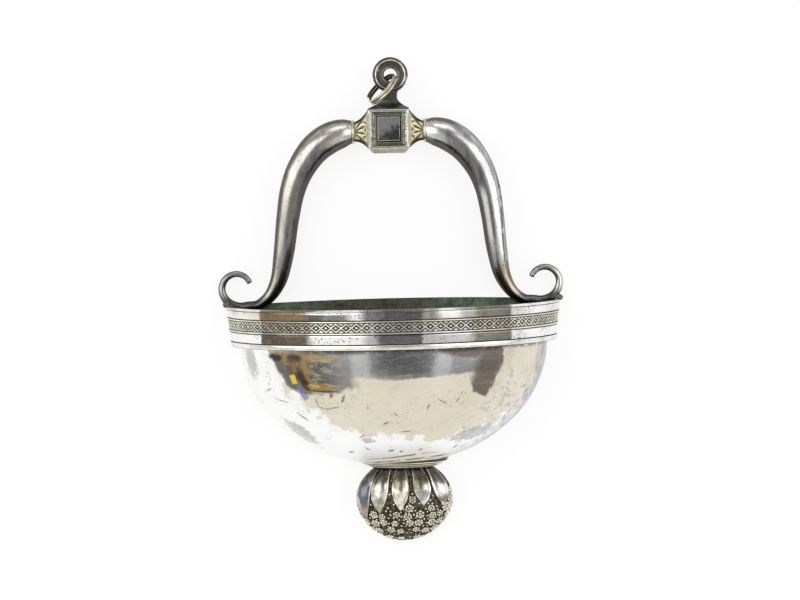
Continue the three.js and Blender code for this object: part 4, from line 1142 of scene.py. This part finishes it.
# A painted brown reflection on the right, grey smears lower down, a painted darker reflection at the right
# edge, and painted shade in a dark line under the band
def umber_layers(f, umber):
    rubbed = f.times(f.stain_and_reflection(*RUBBED), f.step(f.cloud(3.2, 5.0, (1.6, 1.0, 0.8), 0.7, 14.0), 0.52, 0.6))
    edge = f.times(f.math("SUBTRACT", 1.0, f.stain_and_reflection(*BRIGHT_MIDDLE)), f.step(f.x, 15.0, 48.0))
    line = f.times(f.step(f.z, -22.5, -20.0), f.step(f.cloud(2.2, 4.0, seed=3.0), 0.36, 0.5))
    return [
        (0.93, umber, UMBER),
        (0.7, f.most(f.stains_and_reflections(SMEARS), rubbed), (0.38, 0.38, 0.38)),
        (0.85, edge, (0.26, 0.27, 0.31)),
        (0.85, f.times(line, f.step(f.x, -52.0, -40.0)), SOOT_AND_SHADE),
    ]


# The ridged seat over the collar: pale paint standing in for a bright reflection, drawn ridge lines and a
# dark spot
def seat_layers(f, seat, streaks):
    slope = f.total(f.z, (f.x, -0.1), (f.cloud(12.0, 2.0, seed=24.0), 1.6))
    ridges = f.times(f.step(f.math("PINGPONG", slope, 1.3), 0.78, 1.1), seat)
    return [
        (0.9, seat, f.mix(f.step(streaks, 0.35, 0.6), (0.68, 0.64, 0.52), (0.92, 0.88, 0.76))),
        (0.9, f.times(ridges, f.step(f.cloud(5.0, 3.0, seed=25.0), 0.36, 0.5)), (0.13, 0.115, 0.07)),
        (0.8, f.stain_and_reflection(*SEAT_SOOT), SOOT_AND_SHADE),
    ]


def bowl_silver():
    f = Finish("bowl_silver")
    streaks = f.cloud(3.4, 5.0, (5.0, 1.0, 0.35), 0.65, 2.0)
    # Painted reflections: the cream film, the slate, ochre and umber patches, and the pale seat
    film, seat = f.stain_and_reflection(*CREAM_REFLECTION), f.stain_and_reflection(*SEAT)
    slate, ochre = f.patch(*SLATE_REFLECTION), f.patch(*OCHRE_REFLECTION)
    umber = f.most(f.patch(*UMBER_REFLECTION), f.stain_and_reflection(*UMBER_REFLECTION_TOP))
    mottle = f.step(f.cloud(4.0, 6.0, (1.6, 1.0, 0.7), 0.75, 26.0), 0.5, 0.68)
    gather = f.most(f.step(f.cloud(13.0, 3.0, seed=9.0), 0.52, 0.66), f.stains_and_reflections(SPECKLED))
    dots = f.most(f.specks(1.3, 0.6, gather, 1.0), f.specks(0.7, 0.61, gather, 5.0))
    marks = f.stains_and_reflections([(*mark, 0.8, 2.0, 1.1, mark[0]) for mark in BOWL_MARKS])
    inside = f.step(f.raised(), 0.7, 0.3)
    warm = f.mix(f.step(f.cloud(24.0, 4.0, seed=4.0), 0.35, 0.7), CREAM, (0.73, 0.68, 0.56))
    layers = slate_reflection_layers(f, slate, streaks) + ochre_reflection_layers(f, ochre) + umber_layers(f, umber) + [
        (0.22, f.times(mottle, film), (0.42, 0.37, 0.3)),
        (0.6, dots, (0.25, 0.21, 0.17)),
        (0.75, marks, (0.17, 0.13, 0.1)),
    ] + seat_layers(f, seat, streaks)
    colour = f.mix(inside, f.layered(f.mix(film, WHITE, warm), layers), verdigris(f))
    reflections_and_stains = f.most(umber, ochre, slate, dots, marks)
    dull = f.most(seat, f.stain_and_reflection(*NEAR_SEAT))
    rough = f.total(0.15, (reflections_and_stains, 0.14), (f.cloud(2.5, 4.0), 0.14), (dull, 0.3), (inside, 0.4))
    metallic = f.total(1.0, (f.most(inside, seat), -0.7))
    bump = f.total(f.cloud(3.0, 5.0, seed=6.0), (f.scratches(8.0, 1.0), -0.25),
                   (f.scratches(-35.0, 4.0), -0.25), (f.most(dots, marks), -0.5))
    return f.finish(colour, rough, metallic, bump, 0.05)


# Green and brown crust inside the basin, browner towards its middle
def verdigris(f):
    green = f.step(f.cloud(3.5, 6.0, rough=0.7, seed=3.0), 0.34, 0.66)
    brown = f.step(f.cloud(3.0, 6.0, rough=0.7, seed=5.0), 0.34, 0.68)
    green = f.mix(green, (0.055, 0.07, 0.045), (0.16, 0.23, 0.15))
    brown = f.mix(brown, (0.04, 0.038, 0.025), (0.12, 0.115, 0.075))
    pale = f.step(f.cloud(1.6, 4.0, seed=8.0), 0.66, 0.76)
    crust = f.mix(f.off(f.x, -14.0, 16.0, 50.0), brown, green)
    return f.layered(crust, [(0.5, pale, (0.25, 0.32, 0.25))])


# Upright columns of painted reflection on the band, mostly dark: left and right end, how soft each is, and
# colour
UPPER_REFLECTION_COLUMNS = [
    (-65, -41, 0.8, 1.5, (0.2, 0.125, 0.055)),
    (-42, -32, 1, 3, (0.07, 0.08, 0.07)),
    (-34, -22, 3, 4, (0.2, 0.205, 0.2)),
    (-15, -6, 3, 3, (0.2, 0.2, 0.2)),
    (-7, 16, 3, 3.5, (0.075, 0.075, 0.08)),
    (16, 22, 2, 3, (0.24, 0.24, 0.23)),
    (32, 40, 3, 2, (0.36, 0.37, 0.34)),
    (39, 57.5, 3, 1.2, (0.15, 0.135, 0.11)),
]
LOWER_REFLECTION_COLUMNS = [
    (-64.5, -40.5, 0.6, 3, (0.085, 0.06, 0.032)),
    (-14, -7, 3, 2, (0.5, 0.5, 0.5)),
    (-8, 14, 2, 0.8, (0.1, 0.095, 0.105)),
    (14, 40, 1, 3, (0.5, 0.5, 0.49)),
    (38, 57.3, 3, 0.5, (0.15, 0.14, 0.105)),
]
COLUMN_TOP = 4
COLUMN_LOW = -24


def reflection_column_layers(f, amount, columns, mask):
    layers = []
    for left, right, soft_left, soft_right, paint in columns:
        corners = [(right, COLUMN_TOP, 1.0), (left, COLUMN_TOP, soft_left),
                   (left, COLUMN_LOW, 1.0), (right, COLUMN_LOW, soft_right)]
        column = f.patch(corners, min(soft_left, soft_right, 1.5), seed=left)
        layers.append((amount, f.times(column, mask), paint))
    return layers


# On the band: a painted highlight, and where specks gather, as for the bowl
BAND_HIGHLIGHT = (-29, -1.1, 14, 1.2, 1.5, 0.5, 0.8, 4, 6)
BAND_SPECKLED = [
    (-30, -4, 16, 3, 0, 0.4, 0.8, 5, 10),
    (-28, -14, 13, 2, 0, 0.4, 0.8, 5, 11),
    (-6, -3.5, 8, 2.5, 0, 0.4, 0.8, 5, 12),
]


def band_silver():
    f = Finish("band_silver")
    film = f.step(f.cloud(16.0, 4.0, (1, 1, 0.5)), 0.35, 0.7)
    above = f.step(f.z, -8.5, -8.0)
    below = f.math("SUBTRACT", 1.0, above)
    gather = f.most(f.step(f.cloud(9.0, 3.0, seed=9.0), 0.48, 0.64), f.stains_and_reflections(BAND_SPECKLED))
    dots = f.most(f.specks(0.9, 0.56, gather, 1.0), f.specks(0.5, 0.58, gather, 5.0))
    layers = reflection_column_layers(f, 0.95, UPPER_REFLECTION_COLUMNS, above) + reflection_column_layers(f, 0.95, LOWER_REFLECTION_COLUMNS, below) + [
        (0.14, f.step(f.cloud(3.0, 5.0, (1.5, 1.0, 0.5), 0.7, 8.0), 0.46, 0.64), (0.5, 0.49, 0.46)),
        (0.85, f.stain_and_reflection(*BAND_HIGHLIGHT), WHITE),
        (0.85, dots, (0.08, 0.07, 0.06)),
        (0.85, f.step(f.raised(), 0.7, 0.1), SOOT_AND_SHADE),
    ]
    colour = f.layered(f.mix(f.times(film, f.step(f.z, -14.0, -2.0)), WHITE, CREAM), layers)
    rough = f.total(0.2, (dots, 0.15), (f.cloud(2.0, 4.0), 0.12))
    return f.finish(colour, rough, 1.0, f.worn(2.0, 2.0, 2.5), 0.03)


# Silver with relief: colour of its crests and of its ground, roughness of both, how metallic the
# ground is, how blotchy the wear is and its size, how metallic the crests are, and how strongly
# the band's columns of painted reflection darken them
RELIEFS = {
    "milled_silver": ((0.86, 0.82, 0.67), (0.012, 0.012, 0.008), 0.3, 0.5, 0.3, 0.36, 4.0, 0.8, 0.55),
    "aged_silver": ((0.76, 0.73, 0.6), (0.05, 0.055, 0.042), 0.3, 0.5, 0.75, 0.8, 0.9),
    "worn_gilt": ((0.64, 0.58, 0.4), (0.045, 0.038, 0.026), 0.28, 0.45, 0.8, 0.4, 1.5),
    "bright_line": ((0.93, 0.91, 0.84), (0.06, 0.055, 0.045), 0.22, 0.45, 0.6, 0.2, 6.0),
    "trim_silver": ((0.93, 0.91, 0.82), (0.06, 0.055, 0.045), 0.22, 0.45, 0.6, 0.2, 6.0, 1.0, 0.55),
    "pale_bead": ((0.6, 0.6, 0.48), (0.07, 0.072, 0.055), 0.3, 0.45, 0.8, 0.7, 1.2),
    "beige_foot": ((0.6, 0.55, 0.47), (0.2, 0.17, 0.14), 0.45, 0.6, 0.3, 0.6, 1.6, 0.3),
    "eye_dark": ((0.75, 0.72, 0.62), (0.06, 0.055, 0.05), 0.25, 0.42, 0.85, 1.1, 4.0),
    "foot_dark": ((0.1, 0.105, 0.085), (0.045, 0.048, 0.04), 0.4, 0.5, 0.75, 0.6, 2.0),
    "ring_metal": ((0.58, 0.53, 0.42), (0.05, 0.042, 0.03), 0.25, 0.4, 0.9, 0.7, 2.5),
    "ground_dark": ((0.13, 0.115, 0.07), (0.02, 0.018, 0.012), 0.4, 0.55, 0.7, 0.6, 2.0),
    "flower_silver": ((0.88, 0.84, 0.68), (0.03, 0.027, 0.018), 0.28, 0.5, 0.6, 0.6, 3.0, 0.9),
    "collar_silver": ((0.95, 0.92, 0.8), (0.05, 0.045, 0.03), 0.25, 0.45, 0.8, 0.2, 6.0, 0.9),
}


def relief_silver(name, high, low, rough_high, rough_low, metal_low, blotch, size,
                  metal_high=1.0, columns=0.0):
    f = Finish(name)
    worn = f.total(-blotch, (f.cloud(size, 4.0, seed=2.0), 2 * blotch))
    level = f.step(f.math("ADD", f.raised(), worn), 0.25, 0.8)
    lighter, darker = tuple(1.7 * part for part in low), tuple(0.72 * part for part in high)
    ground = f.mix(f.step(f.cloud(size * 2.2, 3.0, seed=5.0), 0.35, 0.7), low, lighter)
    crest = f.mix(f.step(f.cloud(size * 1.4, 3.0, seed=7.0), 0.3, 0.7), high, darker)
    # The band's columns of painted reflection, laid on the crests
    if columns:
        crest = f.layered(crest, reflection_column_layers(f, columns, LOWER_REFLECTION_COLUMNS, 1.0))
    rough = f.total(rough_low - 0.08, (level, rough_high - rough_low), (f.cloud(1.2, 3.0), 0.16))
    metallic = f.total(metal_low, (level, metal_high - metal_low))
    return f.finish(f.mix(level, ground, crest), rough, metallic, f.worn(20.0, 3.0, 0.7), 0.05)


# The sunk panel: grey, darker towards its lower right, with a pale line round it
def panel_silver():
    f = Finish("panel_silver")
    blotch = f.cloud(1.6, 5.0, rough=0.7, seed=2.0)
    dark = f.step(f.total(0.04 * BLOCK_MIDDLE, (f.x, 0.035), (f.z, -0.04), (blotch, 1.0)), 0.38, 0.68)
    line = f.times(f.step(f.raised(), 0.4, 0.9), f.step(f.cloud(1.5, 3.0, seed=5.0), 0.3, 0.5))
    colour = f.mix(line, f.mix(dark, (0.22, 0.23, 0.225), (0.04, 0.042, 0.04)), (0.62, 0.62, 0.54))
    return f.finish(colour, f.total(0.25, (f.cloud(0.8, 4.0), 0.25)), 0.85, f.cloud(0.6, 4.0, seed=6.0), 0.05)


# Stains and painted reflections on the leaves, the white one a painted highlight: amount, colour, and then as
# for the bowl
LEAF_STAINS_AND_REFLECTIONS = [
    (0.9, (0.08, 0.095, 0.13), -16.5, -94.5, 3.6, 8, 0, 0.7, 1.4, 3, 3),
    (0.7, (0.25, 0.18, 0.14), -16, -104, 4, 3.5, 0, 0.7, 1.8, 3, 4),
    (0.6, (0.16, 0.15, 0.14), -8, -98.5, 4, 1.7, 0, 0.7, 1.8, 3, 5),
    (0.75, (0.28, 0.24, 0.11), 10.5, -89.5, 4.5, 3.5, 0, 0.4, 1.2, 3, 6),
    (0.65, (0.34, 0.28, 0.14), 1, -89.5, 4, 3.5, 0, 0.4, 1.4, 3, 7),
    (0.65, (0.2, 0.2, 0.25), 11.5, -96, 4.5, 2.6, 30, 0.6, 1.6, 3, 8),
    (0.7, (0.12, 0.11, 0.11), 22.5, -98, 5, 1.8, 20, 0.7, 1.8, 3, 9),
    (0.8, WHITE, 21.5, -91, 5, 5.5, 20, 0.7, 1.2, 3, 10),
]


# The long leaves: painted shade at the top, with a pale edge, tarnish of several colours and painted
# reflections
def leaf_silver():
    f = Finish("leaf_silver")
    colour = f.mix(f.step(f.cloud(4.0, 5.0, rough=0.65), 0.4, 0.62), (0.86, 0.84, 0.76), (0.42, 0.39, 0.32))
    # Painted shade along the top of the leaves, under the collar
    top = f.total(f.z, (f.cloud(4.0, 4.0, seed=2.0), 9.0))
    layers = [(amount, f.stain_and_reflection(*place), paint) for amount, paint, *place in LEAF_STAINS_AND_REFLECTIONS] + [
        (0.9, f.step(top, PETAL_TOP - 4.5, PETAL_TOP + 0.5), (0.045, 0.038, 0.028)),
        (0.85, f.step(f.raised(), 0.35, 0.0), (0.06, 0.05, 0.035)),
        (0.8, f.step(f.raised(), 0.75, 0.95), (0.85, 0.82, 0.7)),
    ]
    rough = f.total(0.12, (f.cloud(1.6, 4.0), 0.3))
    return f.finish(f.layered(colour, layers), rough, 0.95, f.worn(60.0, 3.0, 2.2), 0.12)


# A painted highlight and a painted brown reflection on the tubes, given as for the bowl
ARM_HIGHLIGHT = (50, 36, 30, 20, 0, 0.5, 0.35, 5, 7)
ARM_BROWN_REFLECTION = (58, 12, 6, 8, 20, 0.4, 1.4, 5, 4)


# Painted shade on the inner side of both tubes, fading towards the block and lower down
def arm_inner_shade(f, sideways, left, right):
    inner = f.most(f.times(f.step(sideways, -0.25, 0.25), left), f.times(f.step(sideways, 0.2, -0.1), right))
    inner = f.times(inner, f.off(f.x, 0.0, TUBE_START_X + 4.0, TUBE_START_X + 16.0))
    return f.times(inner, f.total(1.0, (f.step(f.z, 38.0, 16.0), -0.5)))


# A thin painted dark reflection line along each tube
def arm_dark_reflection_line(f, sideways, left, right):
    on_right = f.times(f.off(sideways, f.total(0.45, (f.z, 0.008)), 0.14, 0.04), right)
    on_left = f.times(f.off(sideways, -0.8, 0.14, 0.04), left)
    broken = f.step(f.cloud(5.0, 4.0, seed=13.0), 0.36, 0.5)
    return f.times(f.most(on_right, on_left), broken, f.step(f.z, 66.0, 54.0), f.step(f.z, 8.0, 16.0))


# Painted shade, with some tarnish, where the tubes turn away from the front, but not on the outside of the
# right one
def arm_edge_shade(f, facing_y, outside):
    ragged = f.total(-0.4, (f.cloud(3.0, 4.0, seed=3.0), 0.8))
    edge = f.step(f.math("ADD", f.step(facing_y, -0.92, -0.5), ragged), 0.35, 0.8)
    return f.times(edge, f.step(facing_y, 0.5, -0.1), f.total(1.0, (outside, -0.92)))


def arm_silver():
    f = Finish("arm_silver")
    facing = f.axes(f.normal)
    sideways = facing["X"]
    left, right = f.step(f.x, 10.0, -10.0), f.step(f.x, -10.0, 10.0)
    highlight_streak = f.times(f.off(sideways, -0.42, 0.32, 0.08), right, f.stain_and_reflection(*ARM_HIGHLIGHT))
    edge = arm_edge_shade(f, facing["Y"], f.times(f.step(sideways, 0.3, 0.6), right))
    lower = f.total(0.15, (f.step(f.z, 74.0, 44.0), 0.75))
    ends = f.off(f.x, 0.0, TUBE_START_X + 4.5, TUBE_START_X + 0.5)
    cool = f.step(f.cloud(9.0, 3.0, (0.6, 0.6, 2.0), seed=12.0), 0.48, 0.62)
    colour = f.mix(f.step(f.cloud(12.0, 4.0), 0.35, 0.7), (0.66, 0.63, 0.55), (0.5, 0.48, 0.43))
    colour = f.layered(colour, [
        # Painted shade on the left tube, strongest lower down, and a cooler painted reflection tone on the
        # right tube
        (0.8, f.times(left, lower), (0.26, 0.25, 0.22)),
        (0.5, right, (0.56, 0.57, 0.6)),
        # Painted highlight at the right tube's end by its ferrule
        (0.7, f.times(ends, right), (0.85, 0.83, 0.76)),
        (0.35, cool, (0.16, 0.16, 0.2)),
        (0.93, arm_inner_shade(f, sideways, left, right), f.mix(cool, (0.16, 0.155, 0.145), (0.085, 0.085, 0.11))),
        # Painted highlight streak on the right tube
        (0.78, highlight_streak, (0.84, 0.83, 0.79)),
        # Painted shade, with some tarnish, at the edges
        (0.93, edge, (0.09, 0.08, 0.065)),
        (0.75, arm_dark_reflection_line(f, sideways, left, right), (0.1, 0.09, 0.075)),
        # Painted shade under the scrolls and where they sink behind the lip
        (0.9, f.times(f.step(f.z, 22.0, 10.0), f.step(facing["Z"], -0.1, -0.8)), SOOT_AND_SHADE),
        (0.8, f.step(f.z, 7.0, 1.5), SOOT_AND_SHADE),
        # Painted brown reflection low on the right tube
        (0.55, f.stain_and_reflection(*ARM_BROWN_REFLECTION), (0.3, 0.22, 0.1)),
        (0.8, f.specks(0.9, 0.6, f.step(f.cloud(8.0, 3.0, seed=9.0), 0.45, 0.6), 1.0), SOOT_AND_SHADE),
    ])
    rough = f.total(0.2, (edge, 0.25), (f.cloud(2.0, 4.0), 0.1))
    metallic = f.total(1.0, (edge, -0.7), (highlight_streak, -0.4))
    return f.finish(colour, rough, metallic, f.worn(70.0, 2.0, 3.5), 0.015, (0.3, 0.27, 0.22))


def crusty_green():
    f = Finish("crusty_green")
    spots = f.step(f.cloud(0.9, 4.0), 0.4, 0.62)
    colour = f.mix(spots, (0.03, 0.035, 0.028), (0.17, 0.23, 0.16))
    return f.finish(colour, f.total(0.65, (spots, 0.2)), 0.1, f.cloud(0.35, 4.0, seed=3.0), 0.25)


# The closing sheets: green where they face the basin, and plain grey behind
def sheet_back():
    f = Finish("sheet_back")
    rear = f.step(f.axes(f.normal)["Y"], -0.6, -0.2)
    plain = f.mix(f.step(f.cloud(25.0, 5.0), 0.35, 0.7), (0.55, 0.53, 0.5), (0.25, 0.23, 0.2))
    plain = f.layered(plain, [(0.7, f.step(f.cloud(1.6, 4.0, seed=5.0), 0.62, 0.72), (0.08, 0.07, 0.06))])
    rough = f.total(0.6, (rear, -0.22), (f.cloud(2.0, 4.0), 0.14))
    metallic = f.total(0.4, (rear, 0.6))
    return f.finish(f.mix(rear, verdigris(f), plain), rough, metallic, f.worn(15.0, 2.0, 1.8), 0.08)


# White that looks evenly lit, and that can be seen through from behind
def wall_white():
    material = bpy.data.materials.new("wall_white")
    f = Nodes(material)
    plain = {"Base Color": (0.92, 0.92, 0.92, 1.0), "Roughness": 0.9, "Specular IOR Level": 0.0}
    lit = f.fill(f.tree.nodes["Principled BSDF"], plain).outputs["BSDF"]
    white = f.node("ShaderNodeEmission").outputs["Emission"]
    clear = f.node("ShaderNodeBsdfTransparent").outputs["BSDF"]
    rays = f.node("ShaderNodeLightPath").outputs
    seen = f.most(rays["Is Camera Ray"], rays["Is Glossy Ray"], rays["Is Transmission Ray"])
    behind = f.node("ShaderNodeNewGeometry").outputs["Backfacing"]
    front = f.node("ShaderNodeMixShader", {"Fac": f.times(seen, 0.85), 1: lit, 2: white}).outputs["Shader"]
    whole = f.node("ShaderNodeMixShader", {"Fac": behind, 1: front, 2: clear}).outputs["Shader"]
    f.fill(f.tree.nodes["Material Output"], {"Surface": whole})
    return material


WALL_Y = 0.6
WALL_HALF = 4000.0


def flat_outline(points, work):
    corners = [work.verts.new((x * MM, WALL_Y * MM, z * MM)) for x, z in points]
    return [work.edges.new(pair) for pair in zip(corners, corners[1:] + corners[:1])]


# A plain white wall just behind the part. It is open behind the flat sheets, so that the back of
# the part is lit in views from there
def add_wall():
    basin = [(half, z) for half, _, z in bowl_outline(6.0, 2, 16)]
    turns = np.linspace(0, 2 * math.pi, 24, False)
    outlines = [
        [(-WALL_HALF, -WALL_HALF), (WALL_HALF, -WALL_HALF), (WALL_HALF, WALL_HALF), (-WALL_HALF, WALL_HALF)],
        basin + [(-half, z) for half, z in basin[::-1]],
        [(FINIAL_SHIFT + 18 * math.cos(turn), -98 + 12 * math.sin(turn)) for turn in turns],
        [(-7, 80), (7, 80), (7, 93), (-7, 93)],
    ]
    work = bmesh.new()
    edges = [edge for points in outlines for edge in flat_outline(points, work)]
    bmesh.ops.triangle_fill(work, use_beauty=True, edges=edges)
    for face in work.faces:
        if face.normal.y > 0:
            face.normal_flip()
    mesh = bpy.data.meshes.new("wall")
    work.to_mesh(mesh)
    work.free()
    mesh.materials.append(wall_white())
    wall = bpy.data.objects.new("wall", mesh)
    bpy.context.scene.collection.objects.link(wall)


# Lamps: name, azimuth and elevation in degrees, distance, width and height in metres, and power
LAMPS = [
    ("window_left", -46, 12, 1.6, 2.0, 1.2, 15.0),
    ("softbox_right", 50, 10, 1.6, 1.6, 1.2, 12.0),
    ("fill_front", 10, 55, 1.8, 1.2, 0.8, 5.0),
    ("behind_left", -150, 20, 1.6, 0.8, 1.2, 9.0),
    ("behind_right", 150, 10, 1.6, 0.8, 1.2, 7.0),
]


def add_lamp(name, azimuth, elevation, distance, wide, high, power):
    lamp = bpy.data.lights.new(name, "AREA")
    lamp.shape = "RECTANGLE"
    lamp.size, lamp.size_y, lamp.energy = wide, high, power
    holder = bpy.data.objects.new(name, lamp)
    turn, rise = math.radians(azimuth), math.radians(elevation)
    out = Vector((math.sin(turn) * math.cos(rise), -math.cos(turn) * math.cos(rise), math.sin(rise)))
    holder.location = out * distance
    holder.rotation_euler = out.to_track_quat("Z", "Y").to_euler()
    holder.visible_camera = False
    bpy.context.scene.collection.objects.link(holder)


# World: bright below, dark at the middle and grey above, by share of the way up
WORLD_STOPS = [
    (0.0, (1.0, 1.0, 0.98)),
    (0.3, (0.95, 0.94, 0.91)),
    (0.4, (0.7, 0.69, 0.67)),
    (0.47, (0.36, 0.36, 0.36)),
    (0.6, (0.34, 0.34, 0.34)),
    (1.0, (0.6, 0.6, 0.6)),
]


def add_world():
    world = bpy.data.worlds.new("studio")
    bpy.context.scene.world = world
    f = Nodes(world)
    up = f.axes(f.node("ShaderNodeTexCoord").outputs["Generated"])["Z"]
    height = f.node("ShaderNodeMapRange", {"Value": up, "From Min": -1.0}).outputs["Result"]
    ramp = f.node("ShaderNodeValToRGB", {"Fac": height})
    stops = ramp.color_ramp.elements
    while len(stops) < len(WORLD_STOPS):
        stops.new(0.5)
    for stop, (share, colour) in zip(stops, WORLD_STOPS):
        stop.position, stop.color = share, (*colour, 1.0)
    f.fill(f.tree.nodes["Background"], {"Color": ramp.outputs["Color"]})


CAMERA_PLACE = (0.6, -1700.0, 90.0)
CAMERA_TARGET = (3.6, 0.0, 0.9)
CAMERA_ROLL = -1.35
CAMERA_LENS = 153.2


def add_camera():
    data = bpy.data.cameras.new("camera")
    camera = bpy.data.objects.new("camera", data)
    bpy.context.scene.collection.objects.link(camera)
    camera.location = Vector(CAMERA_PLACE) * MM
    target = Vector(CAMERA_TARGET) * MM
    aim = (target - camera.location).to_track_quat("-Z", "Y").to_matrix()
    camera.rotation_euler = (aim @ Matrix.Rotation(math.radians(CAMERA_ROLL), 3, "Z")).to_euler()
    data.sensor_width = 36.0
    data.lens = CAMERA_LENS
    data.clip_start, data.clip_end = 0.05, 20.0
    bpy.context.scene.camera = camera


add_camera()
add_world()
add_wall()
for lamp in LAMPS:
    add_lamp(*lamp)

relief = {name: relief_silver(name, *values) for name, values in RELIEFS.items()}
add_bowl(bowl_silver())
add_band(band_silver(), relief["bright_line"], relief["trim_silver"], relief["milled_silver"])
add_arms(arm_silver())
add_lumps(crusty_green())
add_block(relief["aged_silver"], relief["pale_bead"], panel_silver(), relief["beige_foot"])
add_ferrules(relief["worn_gilt"], relief["pale_bead"])
add_eye(relief["foot_dark"], relief["eye_dark"])
add_ring(relief["ring_metal"])
add_collar(relief["collar_silver"])
add_finial(relief["ground_dark"], relief["flower_silver"], leaf_silver())

back = sheet_back()
for name in ("back_plate", "finial_back", "block_back", "finial_stud", "finial_nut"):
    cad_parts[name].data.materials.clear()
    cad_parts[name].data.materials.append(back)

scene = bpy.context.scene
scene.view_settings.view_transform = "Standard"
